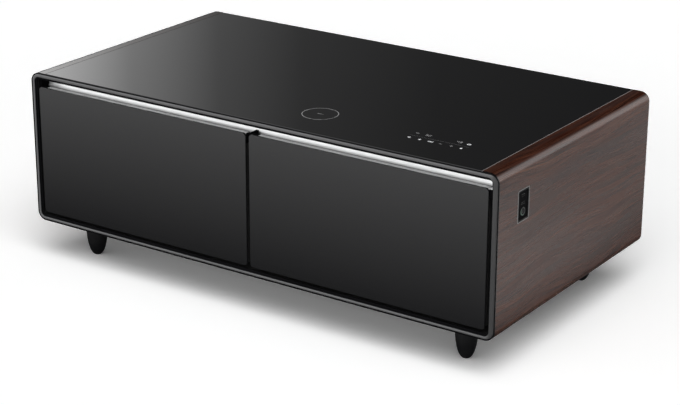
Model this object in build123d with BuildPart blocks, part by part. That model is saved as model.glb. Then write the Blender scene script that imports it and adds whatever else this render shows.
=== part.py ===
from build123d import *
import os
from math import cos, radians, sin

os.makedirs("parts", exist_ok=True)

# Overall sizes of the table: X across the front, Y from front to rear, Z up from the floor
WIDTH = 1300.0
DEPTH = 706.0
BODY_H = 379.0
FOOT_H = 95.0
EDGE_R = 23.0
WALL = 12.0
RETURN_W = 42.0
GLASS_T = 4.0
GLASS_BEVEL = 1.0
GLASS_SEAM = 0.6
SHEET_T = 1.5
RUNNING_GAP = 0.3

# Front frame, and the dark joint line between it and the body
FRAME_T = 5.6
FRAME_W = WALL
FRAME_OUTER_EDGE = 2.4
FRAME_INNER_EDGE = 3.4
JOINT_LINE = 1.2

# Drawer fronts in the frame
DOOR_RECESS = 1.9
DOOR_SIDE_GAP = 11.6
DOOR_MIDDLE_GAP = 9.6
DOOR_BOTTOM_GAP = 11.9
PULL_MOUTH_H = 22.5
DOOR_R = 8.0
DOOR_GLASS_T = 5.0
DOOR_GLASS_EDGE = 0.6
CAP_INSET = 1.0
CAP_T = 1.5
CAP_D = 13.6
CAP_FLANGE_H = 24.0
CAP_SIDE_H = 14.0
PULL_SLOT_H = 30.5
CORE_D = 37.0
PANEL_T = 2.0
PLUG_D = 12.0
PLUG_GAP = 6.0
PLUG_EDGE = 3.0
PANEL_INSET = 10.0
SEAL_W = 12.0
SEAL_BASE_T = 2.0
SEAL_BULB_W = 7.0
SEAL_D = 5.6

# Recess behind the drawer fronts
JAMB_T = 1.2
STRIP_T = 1.5
STRIP_H = 44.0
STRIP_LEAN = 14.0

# Refrigerated compartments
MULLION_HALF = 27.0
CAVITY_OUTER_GAP = 36.0
CAVITY_FLOOR = 33.0
CAVITY_R = 12.0
LINER_T = 2.0
FOAM_TOP_T = 35.0
FOAM_BACK_T = 29.0
FOAM_CORNER_R = 12.0
FOAM_SIDE_GAP = 0.5
TOP_SPACE_H = 37.0

# Evaporator plates behind the compartments
EVAPORATOR_SIDE_GAP = 67.5
EVAPORATOR_EDGE_GAP = 25.0
EVAPORATOR_RUNS = 5
CHANNEL_W = 6.0
CHANNEL_H = 2.5
EVAPORATOR_POCKET = 8.0

# Drawer slides: an outer, a middle and an inner channel, one inside the other
SLIDE_T = 12.7
SLIDE_H = 45.0
SLIDE_SHEET = 1.2
SLIDE_GAP = 0.4
SLIDE_FRONT_GAP = 12.0
SLIDE_END_GAP = 9.5
SLIDE_Z = 150.0

# Drawer bins
BIN_T = 2.5
BIN_R = 12.0
BIN_FLOOR_GAP = 7.0
BIN_TOP_GAP = 37.0
BIN_BACK_GAP = 17.1
BIN_RIM_W = 5.0
BIN_RIM_T = 3.0

# Feet
FOOT_R = 28.0
FOOT_TAPER_H = 79.2
FOOT_TAPER_SEMI = 80.7
FOOT_BLUNT_POWER = 2.6
FOOT_TAPER_SHARES = (0, 0.04, 0.12, 0.28, 0.5, 0.75, 1)
FOOT_SIDES = 24
FOOT_INSET_X = 115.0
FOOT_INSET_FRONT = 86.0
FOOT_INSET_REAR = 79.0
STUD_R = 4.0
STUD_IN_FOOT = 25.0
STUD_IN_BASE = 9.0
THREAD_GAP = 0.05
NUT_CORNER_R = 7.5
NUT_SIDES = 6
NUT_FLANGE_W = 22.0
NUT_FLANGE_T = 1.5

# Module in the right side: two charging ports and a round power button
MODULE_FRONT_GAP = 112.0
MODULE_DROP = 98.0
BEZEL_W = 51.0
BEZEL_H = 73.5
BEZEL_HOLE_W = 38.5
BEZEL_HOLE_H = 63.0
BEZEL_T = 1.5
BEZEL_R = 4.0
BEZEL_EDGE = 0.5
HOUSING_MARGIN = 1.5
HOUSING_D = 36.0
HOUSING_FACE_T = 2.5
HOUSING_WALL = 1.5
HOUSING_R = 3.0
USB_W = 13.1
USB_H = 5.7
USB_D = 14.0
USB_SHEET = 0.3
USB_TONGUE_W = 11.1
USB_TONGUE_T = 1.8
USB_TONGUE_RISE = 0.9
USB_TONGUE_BACK = 2.0
USB_UPPER_Z = 21.2
USB_LOWER_Z = 4.0
BUTTON_DROP = 15.0
BUTTON_R = 7.0
BUTTON_PROUD = 1.0
BUTTON_TRAVEL = 1.5
BUTTON_FLANGE_R = 8.6
BUTTON_FLANGE_T = 1.0
BUTTON_STEM_R = 3.0
BUTTON_STEM_L = 7.0
BUTTON_DISH_R = 30.0
BUTTON_DISH_DEPTH = 0.5
RING_R = 9.2
RING_T = 0.7
SWITCH_W = 12.0

# Touch controls and wireless charging under the glass
COIL_X = 111.5
COIL_FRONT_GAP = 130.0
COIL_R = 40.0
COIL_HOLE_R = 8.0
COIL_T = 2.5
COIL_CUT_W = 88.0
COIL_PLATE_T = 1.5
TOUCH_SIDE_GAP = 219.0
TOUCH_FRONT_GAP = 122.0
TOUCH_W = 170.0
TOUCH_D = 60.0
TOUCH_T = 1.6
TOUCH_CUT_GAP = 3.0
PAD_W = 12.0
PAD_T = 1.2
PAD_COUNT = 6
PAD_PITCH = 26.5
PAD_SHIFT = 8.0

# Electronics on the insulation, under the top board
BOARD_T = 1.6
BOARD_W = 150.0
BOARD_D = 100.0
BOARD_SIDE_GAP = 208.0
BOARD_BACK_GAP = 119.0
SPACER_H = 6.0
SPACER_W = 6.0
SPACER_INSET = 6.0
CHIP_W = 18.0
CHIP_T = 3.0
CAPACITOR_R = 6.0
CAPACITOR_H = 16.0
CAPACITOR_COUNT = 3
SUPPLY_W = 110.0
SUPPLY_D = 60.0
SUPPLY_H = 24.0
SUPPLY_SHIFT = 190.0
SUPPLY_FIN_COUNT = 8
SUPPLY_FIN_T = 2.0
SUPPLY_FIN_H = 5.0

# Rear panel, its vents, battens and screws
REAR_RECESS = 6.0
BATTEN_W = 20.0
VENT_W = 5.0
VENT_H = 120.0
VENT_PITCH = 16.0
VENT_COUNT = 12
VENT_SIDE_GAP = 308.0
VENT_Z = 190.0
REAR_SCREW_R = 2.0
REAR_SCREW_HEAD_R = 4.6
REAR_SCREW_HEAD_T = 2.0
REAR_SCREW_L = 14.0
REAR_SCREW_ROWS = 3
REAR_SCREW_END_GAP = 27.5

# Mains inlet
INLET_SIDE_GAP = 78.0
INLET_Z = 60.0
INLET_FLANGE_W = 31.0
INLET_FLANGE_H = 24.0
INLET_FLANGE_T = 3.0
INLET_BODY_W = 27.4
INLET_BODY_H = 19.8
INLET_BODY_D = 22.0
INLET_WALL = 1.6
INLET_CORNER = 4.5
INLET_CAVITY_D = 17.5
INLET_PIN_W = 2.0
INLET_PIN_H = 4.0
INLET_PIN_L = 12.5
INLET_PIN_SPACING = 7.0
INLET_PIN_RISE = 2.0

# Compressor and its mounting
COMPRESSOR_SIDE_GAP = 218.0
COMPRESSOR_R = 68.0
COMPRESSOR_H = 150.0
COMPRESSOR_WALL = 3.0
COMPRESSOR_SHOULDER_W = 22.0
COMPRESSOR_SHOULDER_H = 26.0
COMPRESSOR_CROWN_W = 18.0
COMPRESSOR_CROWN_H = 7.0
COMPRESSOR_BEVEL = 14.0
COMPRESSOR_CAVITY_SHARE = 0.78
WELD_R = 2.5
WELD_T = 5.0
WELD_SHARE = 0.55
PLATE_W = 210.0
PLATE_D = 130.0
PLATE_T = 3.0
PLATE_R = 14.0
GROMMET_R = 12.0
GROMMET_NECK_R = 8.0
GROMMET_H = 14.0
GROMMET_INSET_X = 18.0
GROMMET_INSET_Y = 18.0
GROMMET_LIP_T = 3.0
TERMINAL_W = 46.0
TERMINAL_D = 24.0
TERMINAL_H = 56.0
TERMINAL_RISE = 40.0
TERMINAL_R = 5.0
TRAY_W = 150.0
TRAY_D = 120.0
TRAY_H = 30.0
TRAY_WALL = 2.0
TRAY_R = 15.0
TRAY_RIM_W = 3.0

# Condenser and its fan
CONDENSER_X = 60.0
CONDENSER_T = 30.0
CONDENSER_GAP = 11.25
CONDENSER_TUBES = 5
CONDENSER_TUBE_H = 2.0
CONDENSER_FINS = 7
CONDENSER_FIN_T = 0.8
HEADER_R = 7.0
SHROUD_T = 2.0
SHROUD_GAP = 12.0
FAN_FRAME = 124.0
FAN_SIDE_GAP = 16.0
FAN_EDGE_GAP = 8.0
FAN_D = 28.0
FAN_FRAME_WALL = 4.0
FAN_TIP_GAP = 2.0
FAN_HUB_R = 20.0
FAN_HUB_D = 20.0
FAN_BLADES = 7
FAN_BLADE_T = 1.8
FAN_BLADE_CHORD = 24.0
FAN_BLADE_PITCH = 38.0
FAN_SHAFT_R = 2.5
FAN_SHAFT_GAP = 0.05
MOTOR_R = 19.0
MOTOR_D = 12.0
STRUT_W = 5.0
STRUT_COUNT = 3

# Refrigerant tubes and the filter dryer
TUBE_R = 3.0
TUBE_SIDES = 8
TUBE_BEND_R = 7.5
TUBE_RISE = 36.0
SUCTION_SHIFT = 60.0
DRYER_R = 9.0
DRYER_L = 90.0
DRYER_NECK_L = 8.0

# Limits worked out from the sizes above
RIGHT = WIDTH / 2
LEFT = -RIGHT
FRONT = -DEPTH / 2
REAR = DEPTH / 2
BASE_Z = FOOT_H
TOP_Z = FOOT_H + BODY_H
INNER_X = RIGHT - WALL
INNER_BASE_Z = BASE_Z + WALL
INNER_TOP_Z = TOP_Z - WALL
INNER_R = EDGE_R - WALL
BOARD_EDGE_X = RIGHT - RETURN_W
DOOR_GLASS_BACK = DOOR_RECESS + DOOR_GLASS_T
CAP_BACK = DOOR_GLASS_BACK + CAP_D
CORE_BACK = DOOR_GLASS_BACK + CORE_D
PANEL_BACK = CORE_BACK + PANEL_T
FASCIA_DEPTH = PANEL_BACK + SEAL_D
PLUG_BACK = PANEL_BACK + PLUG_D
DOOR_BOTTOM_Z = BASE_Z + FRAME_W + DOOR_BOTTOM_GAP
DOOR_TOP_Z = INNER_TOP_Z - PULL_MOUTH_H
DOOR_INNER_X = DOOR_MIDDLE_GAP / 2
DOOR_OUTER_X = INNER_X - DOOR_SIDE_GAP
CAVITY_INNER_X = MULLION_HALF
CAVITY_OUTER_X = INNER_X - CAVITY_OUTER_GAP
CAVITY_FLOOR_Z = INNER_BASE_Z + CAVITY_FLOOR
FOAM_TOP_Z = INNER_TOP_Z - TOP_SPACE_H
CAVITY_TOP_Z = FOAM_TOP_Z - FOAM_TOP_T
CAVITY_H = CAVITY_TOP_Z - CAVITY_FLOOR_Z
CAVITY_MID_X = (CAVITY_INNER_X + CAVITY_OUTER_X) / 2
CAVITY_MID_Z = (CAVITY_FLOOR_Z + CAVITY_TOP_Z) / 2
CONDENSER_D = FAN_FRAME + 2 * (FAN_SIDE_GAP + HEADER_R)
CONDENSER_H = FAN_FRAME + 2 * FAN_EDGE_GAP
ROOM_D = CONDENSER_D + 2 * (HEADER_R + CONDENSER_GAP)
BACK_PANEL_FRONT = DEPTH - REAR_RECESS - SHEET_T
FOAM_BACK = BACK_PANEL_FRONT - ROOM_D
CAVITY_BACK = FOAM_BACK - FOAM_BACK_T - EVAPORATOR_POCKET - LINER_T
CAVITY_D = CAVITY_BACK - FASCIA_DEPTH
EVAPORATOR_W = CAVITY_OUTER_X - CAVITY_INNER_X - 2 * EVAPORATOR_SIDE_GAP
EVAPORATOR_H = CAVITY_H - 2 * EVAPORATOR_EDGE_GAP
ROOM_MID_Y = FRONT + FOAM_BACK + ROOM_D / 2
SIDES = (("left", -1), ("right", 1))


def at_depth(depth):
    """The plane parallel to the front, this far behind it. Its local Y is up."""
    return Plane.XZ.offset(-(FRONT + depth))


def at_height(z):
    """The level plane at this height."""
    return Plane.XY.offset(z)


def at_side(x):
    """The plane parallel to the sides at this X. Its local X runs to the rear and its local Y is up."""
    return Plane.YZ.offset(x)


def span(x0, x1, y0, y1, radius=0, mode=Mode.ADD):
    """A rectangle between two limits each way in the sketch being drawn."""
    with Locations(((x0 + x1) / 2, (y0 + y1) / 2)):
        if radius:
            RectangleRounded(abs(x1 - x0), abs(y1 - y0), radius, mode=mode)
        else:
            Rectangle(abs(x1 - x0), abs(y1 - y0), mode=mode)


# Side panels: veneered boards that wrap over the top and bottom edges
MODULE_Y = FRONT + MODULE_FRONT_GAP
MODULE_MID_Z = TOP_Z - MODULE_DROP
HOUSING_W = BEZEL_HOLE_W + HOUSING_MARGIN + HOUSING_MARGIN
HOUSING_H = BEZEL_HOLE_H + HOUSING_MARGIN + HOUSING_MARGIN


def module_outline(width, height, radius, mode=Mode.ADD):
    """A rounded rectangle centred on the side module."""
    with Locations((MODULE_Y, MODULE_MID_Z)):
        RectangleRounded(width, height, radius, mode=mode)


for side, sx in SIDES:
    with BuildPart() as side_panel:
        with BuildSketch(at_depth(FRAME_T)):
            span(LEFT, RIGHT, BASE_Z, TOP_Z, EDGE_R)
            span(-INNER_X, INNER_X, INNER_BASE_Z, INNER_TOP_Z, INNER_R, mode=Mode.SUBTRACT)
            span(sx * BOARD_EDGE_X, sx * RIGHT, BASE_Z, TOP_Z, mode=Mode.INTERSECT)
        extrude(amount=FRAME_T - DEPTH)
        if side == "right":
            with BuildSketch(at_side(RIGHT)):
                module_outline(BEZEL_W, BEZEL_H, BEZEL_R)
            extrude(amount=-BEZEL_T, mode=Mode.SUBTRACT)
            with BuildSketch(at_side(RIGHT)):
                module_outline(HOUSING_W, HOUSING_H, HOUSING_R)
            extrude(amount=-WALL, mode=Mode.SUBTRACT)
    side_panel.part.label = f"side_panel_{side}"
    export_step(side_panel.part, f"parts/side_panel_{side}.step")

# Feet, their studs and the flanged nuts in the base board
FOOT_POINTS = [
    (sx * (RIGHT - FOOT_INSET_X), y)
    for y in (FRONT + FOOT_INSET_FRONT, REAR - FOOT_INSET_REAR)
    for sx in (-1, 1)
]
FOOT_NAMES = ("front_left", "front_right", "rear_left", "rear_right")


def foot_edge(share):
    """A point of the foot's blunt bullet outline, at this share of the taper's height."""
    z = FOOT_TAPER_H * share
    fall = ((FOOT_TAPER_H - z) / FOOT_TAPER_SEMI) ** FOOT_BLUNT_POWER
    return FOOT_R * (1 - fall) ** (1 / FOOT_BLUNT_POWER), z


for name, (foot_x, foot_y) in zip(FOOT_NAMES, FOOT_POINTS):
    with BuildPart() as foot:
        for radius, z in [foot_edge(share) for share in FOOT_TAPER_SHARES] + [(FOOT_R, FOOT_H)]:
            with BuildSketch(at_height(z)):
                with Locations((foot_x, foot_y)):
                    RegularPolygon(radius, FOOT_SIDES)
        loft(ruled=True)
        with BuildSketch(at_height(FOOT_H)):
            with Locations((foot_x, foot_y)):
                Circle(STUD_R + THREAD_GAP)
        extrude(amount=-STUD_IN_FOOT, mode=Mode.SUBTRACT)
    foot.part.label = f"foot_{name}"
    export_step(foot.part, f"parts/foot_{name}.step")

with BuildPart() as foot_studs:
    with BuildSketch(at_height(FOOT_H - STUD_IN_FOOT)):
        with Locations(*FOOT_POINTS):
            Circle(STUD_R)
    extrude(amount=STUD_IN_FOOT + STUD_IN_BASE)
foot_studs.part.label = "foot_studs"
export_step(foot_studs.part, "parts/foot_studs.step")

with BuildPart() as flanged_nuts:
    with BuildSketch(at_height(INNER_BASE_Z - NUT_FLANGE_T)):
        with Locations(*FOOT_POINTS):
            Rectangle(NUT_FLANGE_W, NUT_FLANGE_W)
    extrude(amount=NUT_FLANGE_T)
    with BuildSketch(at_height(BASE_Z)):
        with Locations(*FOOT_POINTS):
            RegularPolygon(NUT_CORNER_R, NUT_SIDES)
    extrude(amount=WALL - NUT_FLANGE_T)
    with BuildSketch(at_height(BASE_Z)):
        with Locations(*FOOT_POINTS):
            Circle(STUD_R + THREAD_GAP)
    extrude(amount=WALL, mode=Mode.SUBTRACT)
flanged_nuts.part.label = "flanged_nuts"
export_step(flanged_nuts.part, "parts/flanged_nuts.step")

# Base board between the wrapped edges of the side panels
with BuildPart() as base_board:
    with BuildSketch(at_height(BASE_Z)):
        span(-BOARD_EDGE_X, BOARD_EDGE_X, FRONT + FRAME_T, REAR)
        with Locations(*FOOT_POINTS):
            RegularPolygon(NUT_CORNER_R, NUT_SIDES, mode=Mode.SUBTRACT)
    extrude(amount=WALL)
    with BuildSketch(at_height(INNER_BASE_Z)):
        with Locations(*FOOT_POINTS):
            Rectangle(NUT_FLANGE_W, NUT_FLANGE_W)
    extrude(amount=-NUT_FLANGE_T, mode=Mode.SUBTRACT)
base_board.part.label = "base_board"
export_step(base_board.part, "parts/base_board.step")

# Top board, with cut-outs for the charging coil and the touch board
GLASS_UNDER_Z = TOP_Z - GLASS_T
COIL_Y = FRONT + COIL_FRONT_GAP
TOUCH_X = RIGHT - TOUCH_SIDE_GAP
TOUCH_Y = FRONT + TOUCH_FRONT_GAP

with BuildPart() as top_board:
    with BuildSketch(at_height(INNER_TOP_Z)):
        span(-BOARD_EDGE_X, BOARD_EDGE_X, FRONT + FRAME_T, REAR)
        with Locations((COIL_X, COIL_Y)):
            Rectangle(COIL_CUT_W, COIL_CUT_W, mode=Mode.SUBTRACT)
        with Locations((TOUCH_X, TOUCH_Y)):
            Rectangle(TOUCH_W + TOUCH_CUT_GAP, TOUCH_D + TOUCH_CUT_GAP, mode=Mode.SUBTRACT)
    extrude(amount=WALL - GLASS_T)
top_board.part.label = "top_board"
export_step(top_board.part, "parts/top_board.step")

# Black glass top with a bevelled edge
with BuildPart() as glass_top:
    with BuildSketch(at_height(GLASS_UNDER_Z)):
        span(GLASS_SEAM - BOARD_EDGE_X, BOARD_EDGE_X - GLASS_SEAM, FRONT + FRAME_T + GLASS_SEAM, REAR)
    extrude(amount=GLASS_T)
    chamfer(glass_top.faces().sort_by(Axis.Z)[-1].edges(), GLASS_BEVEL)
glass_top.part.label = "glass_top"
export_step(glass_top.part, "parts/glass_top.step")

# Front frame: a ring bevelled inside and out, with a step behind it for the dark joint line
with BuildPart() as front_frame:
    with BuildSketch(at_depth(0)):
        span(LEFT, RIGHT, BASE_Z, TOP_Z, EDGE_R)
        span(-INNER_X, INNER_X, INNER_BASE_Z, INNER_TOP_Z, INNER_R, mode=Mode.SUBTRACT)
    extrude(amount=JOINT_LINE - FRAME_T)
    front_face = front_frame.faces().sort_by(Axis.Y)[0]
    chamfer(front_face.outer_wire().edges(), FRAME_OUTER_EDGE)
    front_face = front_frame.faces().sort_by(Axis.Y)[0]
    chamfer(front_face.inner_wires()[0].edges(), FRAME_INNER_EDGE)
    with BuildSketch(at_depth(FRAME_T - JOINT_LINE)):
        span(
            LEFT + JOINT_LINE,
            RIGHT - JOINT_LINE,
            BASE_Z + JOINT_LINE,
            TOP_Z - JOINT_LINE,
            EDGE_R - JOINT_LINE,
        )
        span(-INNER_X, INNER_X, INNER_BASE_Z, INNER_TOP_Z, INNER_R, mode=Mode.SUBTRACT)
    extrude(amount=-JOINT_LINE)
front_frame.part.label = "front_frame"
export_step(front_frame.part, "parts/front_frame.step")

# Black lining of the recess behind the frame
with BuildPart() as jamb_lining:
    with BuildSketch(at_depth(FRAME_T)):
        span(-INNER_X, INNER_X, INNER_BASE_Z, INNER_TOP_Z, INNER_R)
        span(
            JAMB_T - INNER_X,
            INNER_X - JAMB_T,
            INNER_BASE_Z + JAMB_T,
            INNER_TOP_Z - JAMB_T,
            INNER_R - JAMB_T,
            mode=Mode.SUBTRACT,
        )
    extrude(amount=FRAME_T - FASCIA_DEPTH)
jamb_lining.part.label = "jamb_lining"
export_step(jamb_lining.part, "parts/jamb_lining.step")

# Steel fascia that the drawers seal against, with an opening for each compartment


def cavity_span(sx, growth, radius, mode=Mode.ADD):
    """The outline of one compartment, grown by a margin all round."""
    span(
        sx * (CAVITY_INNER_X - growth),
        sx * (CAVITY_OUTER_X + growth),
        CAVITY_FLOOR_Z - growth,
        CAVITY_TOP_Z + growth,
        radius,
        mode=mode,
    )


with BuildPart() as front_fascia:
    with BuildSketch(at_depth(FASCIA_DEPTH)):
        span(-INNER_X, INNER_X, INNER_BASE_Z, INNER_TOP_Z, INNER_R)
        for side, sx in SIDES:
            cavity_span(sx, LINER_T, CAVITY_R + LINER_T, mode=Mode.SUBTRACT)
    extrude(amount=-SHEET_T)
front_fascia.part.label = "front_fascia"
export_step(front_fascia.part, "parts/front_fascia.step")

# Bright strip: the back wall of the pull recess, which leans back, with a flange under it on the fascia
STRIP_X = INNER_X - JAMB_T
STRIP_TOP_Z = INNER_TOP_Z - JAMB_T
STRIP_BACK_Y = FRONT + FASCIA_DEPTH
STRIP_LOW_Z = STRIP_TOP_Z - STRIP_H
STRIP_FLANGE_Z = STRIP_LOW_Z + STRIP_T

with BuildPart() as pull_strip:
    with BuildSketch(at_side(-STRIP_X)):
        with BuildLine():
            Polyline(
                (STRIP_BACK_Y, STRIP_TOP_Z),
                (STRIP_BACK_Y - STRIP_T, STRIP_TOP_Z),
                (STRIP_BACK_Y - STRIP_T - STRIP_LEAN, STRIP_LOW_Z),
                (STRIP_BACK_Y, STRIP_LOW_Z),
                (STRIP_BACK_Y, STRIP_FLANGE_Z),
                (STRIP_BACK_Y - STRIP_LEAN * (1 - STRIP_T / STRIP_H), STRIP_FLANGE_Z),
                close=True,
            )
        make_face()
    extrude(amount=2 * STRIP_X)
    with BuildSketch(at_depth(FASCIA_DEPTH)) as strip_sketch:
        span(-STRIP_X, STRIP_X, STRIP_LOW_Z, STRIP_TOP_Z)
        fillet(strip_sketch.vertices().group_by(Axis.Z)[-1], INNER_R - JAMB_T)
    extrude(amount=STRIP_T + STRIP_LEAN, mode=Mode.INTERSECT)
pull_strip.part.label = "pull_strip"
export_step(pull_strip.part, "parts/pull_strip.step")

# Insulation, with pockets for the liners, the evaporators and the side module
with BuildPart() as insulation:
    with BuildSketch(at_depth(FASCIA_DEPTH + SHEET_T)) as foam_sketch:
        foam_x = INNER_X - FOAM_SIDE_GAP
        span(-foam_x, foam_x, INNER_BASE_Z, FOAM_TOP_Z)
        fillet(foam_sketch.vertices().group_by(Axis.Z)[0], FOAM_CORNER_R)
    extrude(amount=FASCIA_DEPTH + SHEET_T - FOAM_BACK)
    with BuildSketch(at_depth(FASCIA_DEPTH)):
        for side, sx in SIDES:
            cavity_span(sx, LINER_T, CAVITY_R + LINER_T)
    extrude(amount=FASCIA_DEPTH - CAVITY_BACK - LINER_T, mode=Mode.SUBTRACT)
    with BuildSketch(at_depth(CAVITY_BACK + LINER_T)):
        for side, sx in SIDES:
            with Locations((sx * CAVITY_MID_X, CAVITY_MID_Z)):
                Rectangle(EVAPORATOR_W, EVAPORATOR_H)
    extrude(amount=-EVAPORATOR_POCKET, mode=Mode.SUBTRACT)
    with BuildSketch(at_side(RIGHT)):
        module_outline(HOUSING_W, HOUSING_H, HOUSING_R)
    extrude(amount=-BEZEL_T - HOUSING_D, mode=Mode.SUBTRACT)
insulation.part.label = "insulation"
export_step(insulation.part, "parts/insulation.step")

# Inner liners, one for each compartment
for side, sx in SIDES:
    with BuildPart() as liner:
        with BuildSketch(at_depth(FASCIA_DEPTH)):
            cavity_span(sx, LINER_T, CAVITY_R + LINER_T)
        extrude(amount=-CAVITY_D - LINER_T)
        with BuildSketch(at_depth(FASCIA_DEPTH)):
            cavity_span(sx, 0, CAVITY_R)
        extrude(amount=-CAVITY_D, mode=Mode.SUBTRACT)
    liner.part.label = f"{side}_liner"
    export_step(liner.part, f"parts/{side}_liner.step")

# Evaporator plates on the backs of the liners, each with one winding channel
EVAPORATOR_DEPTH = CAVITY_BACK + LINER_T
RUN_PITCH = EVAPORATOR_H / (EVAPORATOR_RUNS + 1)
RUN_HALF = EVAPORATOR_W / 2 - RUN_PITCH

with BuildPart() as evaporators:
    for side, sx in SIDES:
        with BuildSketch(at_depth(EVAPORATOR_DEPTH)):
            with Locations((sx * CAVITY_MID_X, CAVITY_MID_Z)):
                Rectangle(EVAPORATOR_W - 2 * RUNNING_GAP, EVAPORATOR_H - 2 * RUNNING_GAP)
        extrude(amount=-SHEET_T)
        turns = []
        for row in range(EVAPORATOR_RUNS):
            run_z = CAVITY_MID_Z + RUN_PITCH * (row - (EVAPORATOR_RUNS - 1) / 2)
            ends = (-RUN_HALF, RUN_HALF) if row % 2 == 0 else (RUN_HALF, -RUN_HALF)
            turns += [(sx * CAVITY_MID_X + end, run_z) for end in ends]
        with BuildSketch(at_depth(EVAPORATOR_DEPTH + SHEET_T)):
            with BuildLine():
                FilletPolyline(*turns, radius=RUN_PITCH / 3)
            trace(line_width=CHANNEL_W)
        extrude(amount=-CHANNEL_H)
evaporators.part.label = "evaporators"
export_step(evaporators.part, "parts/evaporators.step")

# Slides: each drawer has one at each side, and the two of a kind are one node
SLIDE_MID_Z = BASE_Z + SLIDE_Z
SLIDE_FRONT = FASCIA_DEPTH + SLIDE_FRONT_GAP
SLIDE_LENGTH = CAVITY_BACK - SLIDE_END_GAP - SLIDE_FRONT


def channel(wall_x, inward, start, stop, height, web_at_start):
    """A channel section between two distances from the wall, open on the side away from its web."""
    low = SLIDE_MID_Z - height / 2
    high = SLIDE_MID_Z + height / 2
    span(wall_x + inward * start, wall_x + inward * stop, low, high)
    hollow_start = start + SLIDE_SHEET if web_at_start else start
    hollow_stop = stop if web_at_start else stop - SLIDE_SHEET
    span(
        wall_x + inward * hollow_start,
        wall_x + inward * hollow_stop,
        low + SLIDE_SHEET,
        high - SLIDE_SHEET,
        mode=Mode.SUBTRACT,
    )


SLIDE_STEP = SLIDE_SHEET + SLIDE_GAP
SLIDE_MEMBERS = (
    ("outer", 0, SLIDE_T - SLIDE_GAP, 0, True),
    ("middle", SLIDE_STEP, SLIDE_T - SLIDE_STEP, 2, True),
    ("inner", SLIDE_STEP + SLIDE_STEP, SLIDE_T, 4, False),
)

for side, sx in SIDES:
    for member, start, stop, steps, web_at_start in SLIDE_MEMBERS:
        with BuildPart() as slide:
            for wall_x, inward in ((sx * CAVITY_INNER_X, sx), (sx * CAVITY_OUTER_X, -sx)):
                with BuildSketch(at_depth(SLIDE_FRONT)):
                    channel(wall_x, inward, start, stop, SLIDE_H - steps * SLIDE_STEP, web_at_start)
                extrude(amount=-SLIDE_LENGTH)
        slide.part.label = f"{side}_slide_{member}"
        export_step(slide.part, f"parts/{side}_slide_{member}.step")

# Drawer fronts


def door_span(sx, inset, mode=Mode.ADD):
    """The outline of one drawer front, drawn in by a margin all round."""
    span(
        sx * (DOOR_INNER_X + inset),
        sx * (DOOR_OUTER_X - inset),
        DOOR_BOTTOM_Z + inset,
        DOOR_TOP_Z - inset,
        DOOR_R - inset,
        mode=mode,
    )


CORE_INSET = CAP_INSET + CAP_T
SLOT_FLOOR_Z = DOOR_TOP_Z - PULL_SLOT_H
FLANGE_LOW_Z = DOOR_TOP_Z - CAP_FLANGE_H
CAP_LOW_Z = DOOR_TOP_Z - CAP_SIDE_H

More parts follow.
